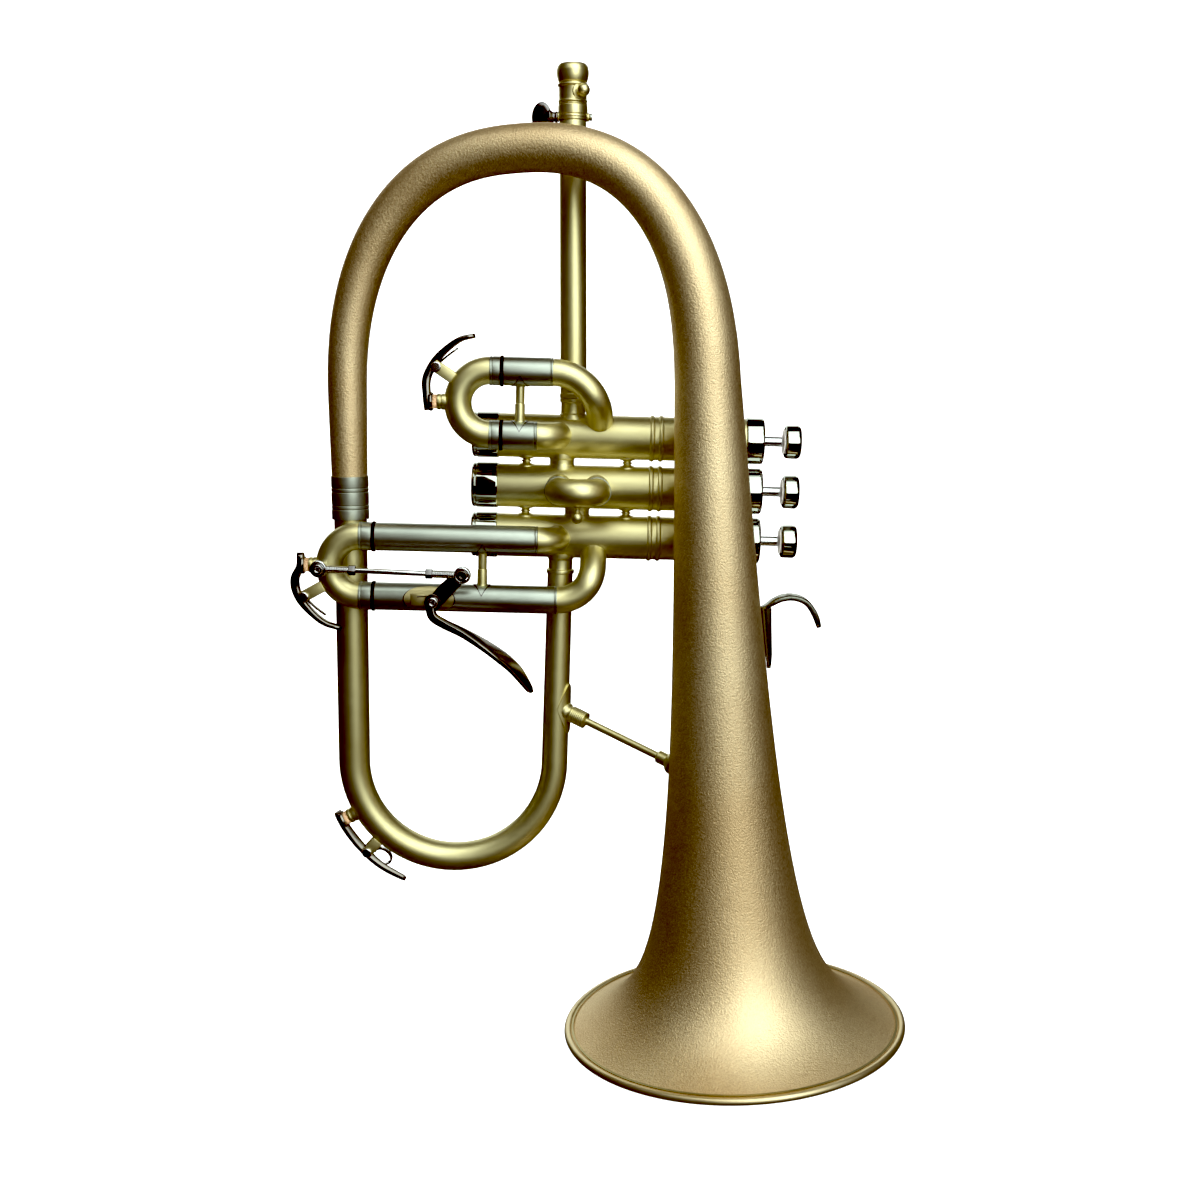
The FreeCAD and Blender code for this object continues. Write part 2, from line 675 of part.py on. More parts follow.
def make_slide(slide):
    """Outer sleeves, and the crook, legs and rings that slide in them."""
    name = slide["name"]
    depth = -size("slide_offset")
    sleeves = []
    legs = []
    rings = []
    for place, (height, sleeve_end) in zip(("upper", "lower"), leg_points(slide)):
        start = slide["ring_end"]
        length = f"{sleeve_end - start}"
        tag = f"{name}_{place}"
        sleeves.append(tube(f"{tag}_sleeve", "sleeve_od", "sleeve_bore", length, (start, depth, height), X))
        leg_foot = (slide["bend_centre"], depth, height)
        leg_length = f"{sleeve_end - 0.6 - slide['bend_centre']}"
        legs.append(tube(f"{tag}_leg", "leg_od", "tube_bore", leg_length, leg_foot, X))
        collar_length = f"{slide['collar_end'] - slide['bend_centre']}"
        collar = tube(f"{tag}_collar", "collar_od", "leg_od", collar_length, leg_foot, X)
        stop = slide["ring_end"] - slide["collar_end"] - 0.35
        bead = tube(f"{tag}_ring", "ring_od", "leg_od", f"{stop}", (slide["collar_end"], depth, height), X)
        rings.append(fuse(f"{tag}_stop", [collar, bead]))
    node(f"{name}_slide_sleeves", group(f"{name}_sleeves", sleeves), VALVES)
    node(f"{name}_slide_legs", group(f"{name}_legs", legs), VALVES)
    node(f"{name}_slide_rings", group(f"{name}_rings", rings), VALVES)
    upper, lower = (height for height, sleeve_end in leg_points(slide))
    bend = (upper - lower) / 2
    back = slide["bend_centre"]
    corners = [(back, depth, upper), (back - bend, depth, upper),
               (back - bend, depth, lower), (back, depth, lower)]
    crook = pipe(f"{name}_crook", "crook_od", "tube_bore", corners, bend)
    node(f"{name}_slide_crook", crook, VALVES)


def near_elbow(name, start, height, port):
    """Elbow that turns from a sleeve straight back into a casing."""
    depth = -size("slide_offset")
    corners = [(start, depth, height), (port, depth, height), (port, -4, height)]
    return pipe(name, "elbow_od", "tube_bore", corners, port - start)


def far_elbow(name, start, height, port, entry):
    """Elbow that runs round to the far port and then back into a casing."""
    depth = -size("slide_offset")
    turn = 7.2
    sweep_radius = port - start
    side = math.copysign(1.0, entry - height)
    corner = Vector(port, depth, height)
    wide = pipe(name + "_wide", "elbow_od", "tube_bore",
                [(start, depth, height), corner, corner + Z * (side * sweep_radius)], sweep_radius)
    knee_start = corner + Z * (side * sweep_radius)
    knee = Vector(port, depth, entry)
    if abs(knee.z - knee_start.z) < turn:
        knee.z = knee_start.z + side * turn
    short = pipe(name + "_short", "elbow_od", "tube_bore", [knee_start, knee, Vector(port, -4, knee.z)], turn)
    return fuse(name + "_joined", [wide, short])


def make_elbows():
    """Elbows from the slide sleeves into the first and third casings."""
    first_ports = PORTS[1]["front"]
    third_ports = PORTS[3]["front"]
    first = [
        near_elbow("first_near", FIRST["lower_end"], size("slide_1_lower"), first_ports[0]),
        far_elbow("first_far", FIRST["upper_end"], size("slide_1_upper"), first_ports[1], valve_height(1)),
    ]
    third = [
        near_elbow("third_near", THIRD["upper_end"], size("slide_3_upper"), third_ports[0]),
        far_elbow("third_far", THIRD["lower_end"], size("slide_3_lower"), third_ports[1], valve_height(3)),
    ]
    for name, elbows in (("first", first), ("third", third)):
        joined = group(f"{name}_elbows_joined", elbows)
        trimmed = cut(f"{name}_elbows_cut", joined, casing_tools(f"{name}_elbow"))
        node(f"{name}_slide_elbows", trimmed, VALVES)


def make_second_slide():
    """Small slide that stands straight out of the middle casing."""
    half = size("slide_2_half")
    sleeves = []
    legs = []
    face = -22.0
    crook_start = -24.6
    for place, side in (("left", -half), ("right", half)):
        sleeve = tube(f"second_{place}_sleeve", "sleeve_od", "sleeve_bore", "16", (side, -6, 0), Y * -1)
        sleeves.append(sleeve)
        reach = abs(crook_start) - 10.4
        leg = tube(f"second_{place}_leg", "leg_od", "tube_bore", f"{reach}", (side, crook_start, 0), Y)
        legs.append(leg)
        ring_start = (side, face - 0.35, 0)
        legs.append(tube(f"second_{place}_ring", "collar_od", "leg_od", "2.2", ring_start, Y * -1))
    trimmed = cut("second_sleeves_cut", group("second_sleeves", sleeves), casing_tools("second"))
    node("second_slide_sleeves", trimmed, VALVES)
    node("second_slide_legs", fuse("second_legs", legs), VALVES)
    corners = [(-half, crook_start, 0), (-half, crook_start - half, 0), (half, crook_start - half, 0),
               (half, crook_start, 0)]
    crook = pipe("second_crook", "crook_od", "tube_bore", corners, half)
    stalk = rod("second_knob_stalk", "3.0", "4.6", (0, crook_start - half, -5.3), Z * -1)
    knob = doc.addObject("Part::Sphere", "second_knob")
    knob.Radius = 2.6
    knob.Placement = Placement(Vector(0, crook_start - half, -10.6), Rotation())
    node("second_slide_crook", fuse("second_crook_joined", [crook, stalk, knob]), VALVES)


def make_slide_braces():
    """Stays between the two sleeves of each long slide."""
    depth = -size("slide_offset")
    braces = []
    for slide, place in ((FIRST, -26.0), (THIRD, -41.4)):
        upper, lower = (height for height, sleeve_end in leg_points(slide))
        name = slide["name"]
        post = rod(f"{name}_brace_post", "stay_rod", f"{upper - lower}", (place, depth, lower), Z)
        knuckle = torus(f"{name}_brace_knuckle", "stay_rod", "1.4", (place, depth, (upper + lower) / 2), Z)
        feet = []
        for tag, height, side in (("upper", upper, -1), ("lower", lower, 1)):
            base = Vector(place, depth, height + side * 6.0)
            feet.append(cone(f"{name}_brace_foot_{tag}", "8.4", "stay_rod", "2.6", base, Z * side))
        trims = [rod(f"{name}_brace_trim_{tag}", "sleeve_od", "60", (place - 30, depth, height), X)
                 for tag, height in (("upper", upper), ("lower", lower))]
        joined = fuse(f"{name}_brace_joined", [post, knuckle] + feet)
        braces.append(cut(f"{name}_brace_cut", joined, trims))
    node("slide_braces", group("slide_braces_group", braces), VALVES)


# ---------------------------------------------------------------- water keys

NIPPLE_REACH = 2.9
CORK_THICK = 2.2


def make_water_key(name, crook_centre, bend, tube_od, nipple_angle, pivot, lever_points, depth):
    """Nipple and saddle on a crook, and the lever that holds its cork on the nipple."""
    centre = Vector(crook_centre[0], depth, crook_centre[1])
    skin = bend + tube_od / 2
    along = Vector(math.cos(math.radians(nipple_angle)), 0, math.sin(math.radians(nipple_angle)))
    seat = centre + along * skin
    nipple = rod(f"{name}_nipple", "nipple_od", f"{NIPPLE_REACH + 2.2}", seat - along * 2.2, along)
    drain = rod(f"{name}_drain", "3.0", "12", seat - along * 5, along)
    hinge = Vector(pivot[0], depth, pivot[1])
    outward = hinge - centre
    reach = outward.Length
    outward.normalize()
    inner = skin - 1.2
    ear_length = reach + 1.6 - inner
    turn = -math.degrees(math.atan2(outward.z, outward.x))
    ears = []
    for side in (-1, 1):
        middle = centre + outward * (inner + ear_length / 2) + Y * (side * (size("key_width") / 2 + 1.1))
        ears.append(block(f"{name}_ear_{side + 1}", f"{ear_length}", "1.4", "5.6", middle, turn))
    trim = torus(f"{name}_trim", f"{2 * bend}", f"{tube_od} + 2 * solder_gap", centre, Y)
    pin = rod(f"{name}_pin", "key_pin", "7.6", hinge - Y * 3.8, Y)
    saddle = cut(f"{name}_saddle_cut", group(f"{name}_saddle_parts", [nipple] + ears), [drain, trim, pin])
    node(f"{name}_saddle", group(f"{name}_saddle_group", [saddle, pin]), VALVES)

    strip = ribbon(name, lever_points, size("key_strip"), "key_width", depth)
    hub = rod(f"{name}_hub", "key_pin + 3.2", "key_width", hinge - Y * (size("key_width") / 2), Y)
    hub_hole = rod(f"{name}_hub_hole", "key_pin + 0.1", "8", hinge - Y * 4, Y)
    cork_start = seat + along * (NIPPLE_REACH + 0.02)
    cork = rod(f"{name}_cork_pad", "cork_od", f"{CORK_THICK}", cork_start, along)
    lever = cut(f"{name}_lever_cut", fuse(f"{name}_lever_joined", [strip, hub]), [hub_hole, cork])
    node(f"{name}_lever", lever, VALVES)
    cork_copy = rod(f"{name}_cork_blank", "cork_od", f"{CORK_THICK}", cork_start, along)
    node(f"{name}_cork", cork_copy, VALVES)


def make_water_keys():
    """Water keys of the first slide, the third slide and the lower crook."""
    depth = -size("slide_offset")
    crook = size("crook_od")
    for name, slide, pivot, points in (
            ("first_key", FIRST, (-62.3, 52.0), [(-45.8, 65.8), (-53.2, 63.5), (-61.4, 56.3), (-66.0, 47.5),
                                                 (-65.4, 40.5), (-64.8, 33.0)]),
            ("third_key", THIRD, (-119.8, -49.9), [(-121.0, -30.6), (-120.9, -36.6), (-123.6, -42.0),
                                                   (-123.2, -48.0), (-119.6, -54.4), (-112.0, -61.4),
                                                   (-103.6, -64.3)])):
        upper, lower = (height for height, sleeve_end in leg_points(slide))
        middle = (slide["bend_centre"], (upper + lower) / 2)
        make_water_key(name, middle, (upper - lower) / 2, crook, 180.0, pivot, points, depth)
    main_points = [(-108.5, -154.0), (-104.3, -161.9), (-96.8, -171.6), (-88.0, -179.8), (-76.5, -186.2)]
    make_water_key("main_key", CROOK_CENTRE, CROOK_BEND, 14.1, 209.9, (-94.2, -172.6), main_points, 0.0)


# ---------------------------------------------------------------- trigger

PIVOT = (-62.25, -49.9)
LEVER_BALL = (-49.25, -37.2)
SLIDE_BALL = (-111.6, -35.9)
LEVER_DEPTH = -26.4
ROD_DEPTH = -30.0


def make_trigger():
    """Third-slide trigger: bracket, screw, finger lever and link rod."""
    depth = -size("slide_offset")
    low = size("slide_3_lower")
    shell = rod("trigger_shell", "sleeve_od + 2.2", "22", (-75.5, depth, low), X)
    shell_bore = rod("trigger_shell_bore", "sleeve_od", "24", (-76.5, depth, low), X)
    back = block("trigger_shell_back", "30", "20", "30", (-64, depth + 11.6, low))
    boss = rod("trigger_boss", "6.4", "3.6", (PIVOT[0], -21.2, PIVOT[1]), Y * -1)
    screw_hole = rod("trigger_screw_hole", "2.6", "8", (PIVOT[0], -20.0, PIVOT[1]), Y * -1)
    bracket = fuse("trigger_bracket_joined", [shell, boss])
    node("trigger_bracket", cut("trigger_bracket_cut", bracket, [shell_bore, back, screw_hole]), VALVES)
    shank = rod("pivot_shank", "2.6", "5.2", (PIVOT[0], -23.2, PIVOT[1]), Y * -1)
    head = rod("pivot_head", "4.6", "1.2", (PIVOT[0], -28.1, PIVOT[1]), Y * -1)
    node("trigger_pivot", fuse("pivot_joined", [shank, head]), VALVES)

    arm = ribbon("trigger_arm", [LEVER_BALL, (-54.0, -40.0), (-60.2, -46.5), PIVOT], 3.6, "trigger_strip",
                 LEVER_DEPTH)
    finger = ribbon("trigger_finger", [(-61.5, -50.2), (-58.8, -57.4), (-50.0, -62.2), (-36.0, -69.8),
                                       (-24.5, -79.0), (-17.7, -89.2)], size("trigger_strip"), "key_width",
                    LEVER_DEPTH - 0.1)
    hub = rod("trigger_hub", "7.0", "trigger_strip", (PIVOT[0], LEVER_DEPTH + 1.2, PIVOT[1]), Y * -1)
    hole = rod("trigger_hub_hole", "2.7", "10", (PIVOT[0], LEVER_DEPTH + 5, PIVOT[1]), Y * -1)
    stud = rod("trigger_stud", "ball_stud", "6.0", (LEVER_BALL[0], LEVER_DEPTH + 0.8, LEVER_BALL[1]), Y * -1)
    boss_room = rod("trigger_boss_room", "7.4", "5", (PIVOT[0], -20.15, PIVOT[1]), Y * -1)
    head_room = rod("trigger_head_room", "5.4", "5", (PIVOT[0], -27.8, PIVOT[1]), Y * -1)
    lever = fuse("trigger_lever_joined", [arm, finger, hub, stud])
    node("trigger_lever", cut("trigger_lever_cut", lever, [hole, boss_room, head_room]), VALVES)

    left = Vector(SLIDE_BALL[0], ROD_DEPTH, SLIDE_BALL[1])
    right = Vector(LEVER_BALL[0], ROD_DEPTH, LEVER_BALL[1])
    along = (right - left).normalize()
    link = rod("link_rod", "trigger_rod_od", f"{(right - left).Length - 5}", left + along * 2.5, along)
    nuts = [rod(f"link_nut_{number}", "4.2", "3.2", left + along * reach, along)
            for number, reach in enumerate((13.0, 47.0))]
    ends = [rod(f"link_end_{number}", "3.0", "10", left + along * reach, along)
            for number, reach in enumerate((3.0, 50.0))]
    rings = [rod(f"link_ring_{number}", "ball_ring_od", "3.2", centre + Y * 1.6, Y * -1)
             for number, centre in enumerate((left, right))]
    holes = [rod("link_hole_left", "ball_stud + 0.12", "8", left + Y * 4, Y * -1),
             rod("link_hole_right", "ball_ring_bore", "8", right + Y * 4, Y * -1)]
    joined = fuse("link_joined", [link] + nuts + ends + rings)
    node("trigger_rod", cut("link_cut", joined, holes), VALVES)
    crook_face = rod("rod_stud_pin", "ball_stud", "12.6", (SLIDE_BALL[0], -20.4, SLIDE_BALL[1]), Y * -1)
    lug = rod("rod_stud_lug", "5.4", "7.4", (SLIDE_BALL[0], -20.4, SLIDE_BALL[1]), Y * -1)
    stud_parts = fuse("rod_stud_joined", [crook_face, lug])
    bend = (size("slide_3_upper") - size("slide_3_lower")) / 2
    middle = Vector(THIRD["bend_centre"], depth, size("slide_3_lower") + bend)
    crook_trim = torus("rod_stud_trim", f"{2 * bend}", "crook_od", middle, Y)
    node("rod_stud", cut("rod_stud_cut", stud_parts, [crook_trim]), VALVES)


# ---------------------------------------------------------------- braces and finger hook

def make_bell_brace():
    """Stay from the outlet tube down to the bell, with its foot and collar."""
    foot = Vector(-72.7, DEPTH, 142.0)
    target = Vector(0, 0, 110.0)
    along = (target - foot).normalize()
    reach = (target - foot).Length - 27.4
    stay = rod("brace_stay", "brace_rod", f"{reach}", foot, along)
    socket = rod("brace_socket", "brace_collar + 1.1", "7.6", foot + along * 8.2, along)
    end = rod("brace_end", "brace_collar - 0.6", "6.4", foot + along * (reach - 5.4), along)
    plate = cone("brace_plate", "11", "8", "5.4", foot + along * 3.6, along)
    spread = rod("brace_spread", "brace_collar + 4.2", "3.2", foot + along * (reach - 1.2), along)
    outlet_axis = VALVES.Rotation.multVec(Z)
    outlet = rod("brace_trim_tube", "11.9", "120", foot - outlet_axis * 60, outlet_axis)
    bell_trim = doc.addObject("Part::Feature", "brace_trim_bell")
    profile = [Vector(0, 0, 60)] + [Vector(bell_radius(height), 0, height) for height in range(60, 221, 20)]
    profile += [Vector(0, 0, 220), Vector(0, 0, 60)]
    bell_trim.Shape = Part.Face(Part.makePolygon(profile)).revolve(Vector(), Z, 360)
    joined = fuse("brace_joined", [stay, socket, end, plate, spread])
    node("bell_brace", cut("brace_cut", joined, [outlet, bell_trim]))
    return bell_trim


def make_valve_brace(bell_trim):
    """Short stays from the bell to the first and third casings."""
    stays = []
    for number in (1, 3):
        casing = VALVES.multVec(Vector(62.0, 0, valve_height(number)))
        towards = Vector(0, 0, casing.z) - casing
        stays.append(rod(f"valve_stay_{number}", "stay_rod + 1.2", f"{towards.Length}", casing, towards))
    trims = []
    for number in (1, 2, 3):
        start = VALVES.multVec(Vector(-100, 0, valve_height(number)))
        trims.append(rod(f"valve_stay_trim_{number}", "casing_od", "casing_length * 2", start,
                         VALVES.Rotation.multVec(X)))
    upper_bell = doc.addObject("Part::Feature", "stay_trim_bell")
    profile = [Vector(0, 0, 180)] + [Vector(bell_radius(height), 0, height) for height in range(180, 281, 20)]
    profile += [Vector(0, 0, 280), Vector(0, 0, 180)]
    upper_bell.Shape = Part.Face(Part.makePolygon(profile)).revolve(Vector(), Z, 360)
    node("valve_stays", cut("valve_stays_cut", group("valve_stays_group", stays), trims + [upper_bell]))


def make_hook(bell_trim):
    """Finger hook on the bell."""
    hook = ribbon("hook", [(18.4, 186.0), (21.6, 190.0), (27.0, 191.2), (33.6, 192.8), (39.6, 189.0),
                           (43.6, 180.2)], size("hook_strip"), "hook_width", 0.0)
    foot = ribbon("hook_foot", [(19.6, 189.0), (20.6, 180.0), (22.2, 164.0)], 3.0, "hook_width", 0.0)
    node("finger_hook", cut("hook_cut", fuse("hook_joined", [hook, foot]), [bell_trim]))


def main():
    """Build every sub-part."""
    make_bell()
    make_bow()
    make_ferrule()
    make_main_crook()
    make_leadpipe()
    make_receiver()
    for number in (1, 2, 3):
        make_casing(number)
        make_piston(number)
        make_stem(number)
        make_spring(number)
    node("top_caps", group("top_caps_group", [top_cap(number) for number in (1, 2, 3)]), VALVES)
    node("bottom_caps", group("bottom_caps_group", [bottom_cap(number) for number in (1, 2, 3)]), VALVES)
    make_links()
    make_slide(FIRST)
    make_slide(THIRD)
    make_elbows()
    make_second_slide()
    make_slide_braces()
    make_water_keys()
    make_trigger()
    bell_trim = make_bell_brace()
    make_valve_brace(bell_trim)
    make_hook(bell_trim)


main()
doc.recompute()

os.makedirs("parts", exist_ok=True)
for part in nodes:
    if "Invalid" in part.State or "Error" in part.State:
        raise RuntimeError(f"{part.Label} did not compute")
    if part.Shape.isNull() or not part.Shape.isValid():
        raise RuntimeError(f"{part.Label} is not a valid shape")
    part.Shape.exportStep(os.path.join("parts", part.Label + ".step"))
print(len(nodes), "sub-parts")
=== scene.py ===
"""Flugelhorn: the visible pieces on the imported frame. Sizes are in millimetres unless said otherwise."""
import json
from math import atan2, copysign, cos, degrees, exp, hypot, pi, radians, sin, sqrt, tan

import bpy
import bmesh
from mathutils import Matrix, Vector


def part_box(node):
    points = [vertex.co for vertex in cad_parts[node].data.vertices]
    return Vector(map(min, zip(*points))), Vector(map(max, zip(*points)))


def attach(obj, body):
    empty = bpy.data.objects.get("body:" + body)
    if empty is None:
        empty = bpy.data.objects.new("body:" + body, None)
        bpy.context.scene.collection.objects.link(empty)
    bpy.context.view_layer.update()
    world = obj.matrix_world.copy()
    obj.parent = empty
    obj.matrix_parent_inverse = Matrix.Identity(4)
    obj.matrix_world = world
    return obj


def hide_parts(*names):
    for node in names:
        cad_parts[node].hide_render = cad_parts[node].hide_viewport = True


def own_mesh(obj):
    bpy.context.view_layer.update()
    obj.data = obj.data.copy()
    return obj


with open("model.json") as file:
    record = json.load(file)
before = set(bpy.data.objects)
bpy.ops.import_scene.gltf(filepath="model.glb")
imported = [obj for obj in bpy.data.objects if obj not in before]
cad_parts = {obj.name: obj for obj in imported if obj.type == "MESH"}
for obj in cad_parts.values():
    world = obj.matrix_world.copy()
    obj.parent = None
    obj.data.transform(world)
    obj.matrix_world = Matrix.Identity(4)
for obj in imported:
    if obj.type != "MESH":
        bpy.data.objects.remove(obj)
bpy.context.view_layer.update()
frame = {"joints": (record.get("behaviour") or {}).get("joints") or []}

MM = 0.001
TINY = 1e-5
X, Y, Z = Vector((1, 0, 0)), Vector((0, 1, 0)), Vector((0, 0, 1))
joints = {joint["name"]: joint for joint in frame["joints"]}


# local frames of the CAD model

def centre_of(node):
    """Middle of a CAD node's box, in millimetres."""
    low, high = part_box(node)
    return (low + high) / 2 / MM


def based(axis_x, axis_y, axis_z, origin):
    """Matrix with these three axes and this origin."""
    matrix = Matrix((axis_x, axis_y, axis_z)).transposed().to_4x4()
    matrix.translation = Vector(origin)
    return matrix


def tilted_frame(origin, along_x):
    """Frame turned about Y so that its X axis points along a direction; the origin is in millimetres."""
    axis_x = Vector(along_x).normalized()
    return based(axis_x, Y, axis_x.cross(Y).normalized(), origin)


CASING_FROM, CASING_TO = -38.0, 76.4
valve_x = -Vector(joints["valve_2_press"]["axis"]).normalized()
pipe_z = Vector(joints["tuning_pull"]["axis"]).normalized()
ROW = Matrix.Identity(4)
VALVES = tilted_frame(centre_of("valve_casing_2") - valve_x * (CASING_FROM + CASING_TO) / 2, valve_x)
LEADPIPE_FROM, LEADPIPE_TO = 283.0, 402.0
pipe_origin = centre_of("leadpipe") - pipe_z * (LEADPIPE_FROM + LEADPIPE_TO) / 2
PIPES = tilted_frame(pipe_origin, Y.cross(pipe_z))
PITCH = (centre_of("valve_casing_1") - centre_of("valve_casing_2")).length


# mesh building

def facing(start, direction, across=Y):
    """Matrix whose Z points along a direction and whose X leans towards the across vector."""
    along = Vector(direction).normalized()
    side = Vector(across) - along * along.dot(Vector(across))
    if side.length < 0.01:
        side = X - along * along.dot(X)
    side.normalize()
    return based(side, along.cross(side), along, start)


def moved(shape, matrix):
    """Copy of a (points, faces) shape carried by a matrix."""
    points, faces = shape
    return [matrix @ Vector(point) for point in points], faces


def joined(shapes):
    """One shape made of several."""
    points, faces = [], []
    for more_points, more_faces in shapes:
        first = len(points)
        points.extend(more_points)
        faces.extend(tuple(index + first for index in face) for face in more_faces)
    return points, faces


def softened(outline, radius, steps=3, closed=False):
    """Outline with its corners rounded off."""
    count = len(outline)
    result = []
    for index, corner in enumerate(outline):
        if not closed and index in (0, count - 1):
            result.append(corner)
            continue
        here = Vector(corner)
        before = Vector(outline[index - 1]) - here
        after = Vector(outline[(index + 1) % count]) - here
        reach = min(radius, before.length * 0.45, after.length * 0.45)
        turn = pi - before.angle(after, pi)
        if turn < radians(12) or reach < 1e-4:
            result.append(corner)
            continue
        first = here + before.normalized() * reach
        last = here + after.normalized() * reach
        for step in range(steps + 1):
            share = step / steps
            point = first * (1 - share) ** 2 + here * 2 * share * (1 - share) + last * share ** 2
            result.append((point.x, point.y))
    return result


def circle(count):
    """Cosine and sine at even steps round a circle."""
    angles = [2 * pi * step / count for step in range(count)]
    return [(cos(angle), sin(angle)) for angle in angles]


def spun(outline, segments=64, closed=False):
    """(along, radius) points revolved about the local Z axis."""
    points, rings, faces = [], [], []
    for along, radius in outline:
        first = len(points)
        if radius < TINY:
            points.append(Vector((0, 0, along)))
            rings.append([first] * segments)
            continue
        points += [Vector((radius * cosine, radius * sine, along)) for cosine, sine in circle(segments)]
        rings.append(list(range(first, first + segments)))
    following = rings[1:] + rings[:1] if closed else rings[1:]
    for low, high in zip(rings, following):
        for step in range(segments):
            after = (step + 1) % segments
            corners = tuple(dict.fromkeys((low[step], low[after], high[after], high[step])))
            if len(corners) > 2:
                faces.append(corners)
    return points, faces


def turned(outline, start, direction, soft=0.15, segments=64, closed=False):
    """Lathe-turned shape with eased edges, its axis leaving start along a direction."""
    return moved(spun(softened(outline, soft, closed=closed), segments, closed), facing(start, direction))


def mirrored(outline, total):
    """Half an outline and its mirror image; the two ends of the shape add up to the total."""
    return outline + [(total - along, radius) for along, radius in reversed(outline)]


def ridged(start, stop, pitch, crest, root):
    """Outline of a thread or knurl between two places."""
    outline = []
    while start < stop:
        outline += [(start, crest), (start + 0.3, root), (start + 0.6, crest)]
        start += pitch
    return outline


def helix(centre, turns, steps, pitch, arms, along, start_angle=0.0):
    """Points of a coil about an axis; the two arms are its radii at the start and a quarter turn on."""
    path = []
    for step in range(turns * steps + 1):
        angle = 2 * pi * step / steps + start_angle
        across = arms[0] * cos(angle) + arms[1] * sin(angle)
        path.append(centre + across + along * (pitch * step / steps))
    return path


def at_depth(pairs, depth):
    """Points in one XZ plane."""
    return [(px, depth, pz) for px, pz in pairs]


def drum(radius, length, start, direction, soft=0.15, segments=64):
    """Plain disc or rod."""
    outline = [(0, 0), (0, radius), (length, radius), (length, 0)]
    return turned(outline, start, direction, soft, segments)


def sleeve(outer, inner, length, start, direction, soft=0.12, segments=64):
    """Open straight tube."""
    outline = [(0, inner), (0, outer), (length, outer), (length, inner)]
    return turned(outline, start, direction, soft, segments, closed=True)


def ball(radius, centre, segments=32):
    """Sphere."""
    half = segments // 2
    outline = []
    for step in range(half + 1):
        angle = pi * step / half
        outline.append((-radius * cos(angle), radius * sin(angle) if 0 < step < half else 0))
    return moved(spun(outline, segments), Matrix.Translation(Vector(centre)))


def rounded_path(corners, bend, arc_step=6.0):
    """Points along straight runs joined by arcs of one bend radius."""
    corners = [Vector(corner) for corner in corners]
    result = [corners[0]]
    for before, corner, after in zip(corners, corners[1:], corners[2:]):
        inward = (before - corner).normalized()
        outward = (after - corner).normalized()
        half_angle = inward.angle(outward) / 2
        reach = bend / tan(half_angle)
        middle = (inward + outward).normalized()
        centre = corner + middle * (bend / sin(half_angle))
        from_centre = corner + inward * reach - centre
        to_centre = corner + outward * reach - centre
        total = from_centre.angle(to_centre)
        axis = from_centre.cross(to_centre).normalized()
        steps = max(3, round(degrees(total) / arc_step))
        for step in range(steps + 1):
            turn = Matrix.Rotation(total * step / steps, 3, axis)
            point = centre + turn @ from_centre
            if (point - result[-1]).length > 0.02:
                result.append(point)
    if (corners[-1] - result[-1]).length > 0.02:
        result.append(corners[-1])
    return result


def smooth_path(points, per_span=8):
    """Catmull-Rom curve through a few points."""
    points = [Vector(point) for point in points]
    padded = [points[0] * 2 - points[1]] + points + [points[-1] * 2 - points[-2]]
    result = []
    for index in range(1, len(padded) - 2):
        before, start, end, after = padded[index - 1:index + 3]
        for step in range(per_span):
            share = step / per_span
            square, cube = share ** 2, share ** 3
            result.append(0.5 * (2 * start + (end - before) * share
                                 + (2 * before - 5 * start + 4 * end - after) * square
                                 + (3 * start - before - 3 * end + after) * cube))
    result.append(points[-1])
    return result


def path_frames(path, hint=Y):
    """Matrices that follow a path without twisting."""
    frames = []
    side = Vector(hint)
    for index, point in enumerate(path):
        tangent = path[min(index + 1, len(path) - 1)] - path[max(index - 1, 0)]
        matrix = facing(point, tangent, side)
        side = matrix.to_3x3().col[0]
        frames.append(matrix)
    return frames


def section_skin(frames, sections, wrap=False):
    """Skin through closed cross-sections, one per frame, each a list of (x, y); capped unless it wraps."""
    points, faces = [], []
    count = len(sections[0])
    for matrix, section in zip(frames, sections):
        points.extend(matrix @ Vector((px, py, 0)) for px, py in section)
    rows = len(frames)
    for row in range(rows if wrap else rows - 1):
        low, high = row * count, ((row + 1) % rows) * count
        for step in range(count):
            after = (step + 1) % count
            faces.append((low + step, low + after, high + after, high + step))
    if not wrap:
        faces.append(tuple(reversed(range(count))))
        faces.append(tuple(range((rows - 1) * count, rows * count)))
    return points, faces


def round_section(radius, segments):
    """Circle as a list of (x, y)."""
    return [(radius * cosine, radius * sine) for cosine, sine in circle(segments)]


def bent_rod(path, radius, segments=20, hint=Y):
    """Solid round bar along a path."""
    return section_skin(path_frames(path, hint), [round_section(radius, segments)] * len(path))


def bent_tube(path, radius, wall=0.6, segments=48):
    """Hollow tube along a path with open ends; the radius is one number or one per point."""
    radii = radius if isinstance(radius, list) else [radius] * len(path)
    frames = path_frames(path)
    outside = [round_section(value, segments) for value in radii]
    inside = [round_section(value - wall, segments) for value in radii]
    return section_skin(frames + frames[::-1], outside + inside[::-1], wrap=True)


def flat_section(width, thick, roundness=0.28, count=20):
    """Rounded bar section; x is the thickness and y the width."""
    def eased(value, size):
        return copysign(abs(value) ** roundness, value) * size / 2

    return [(eased(cosine, thick), eased(sine, width)) for cosine, sine in circle(count)]


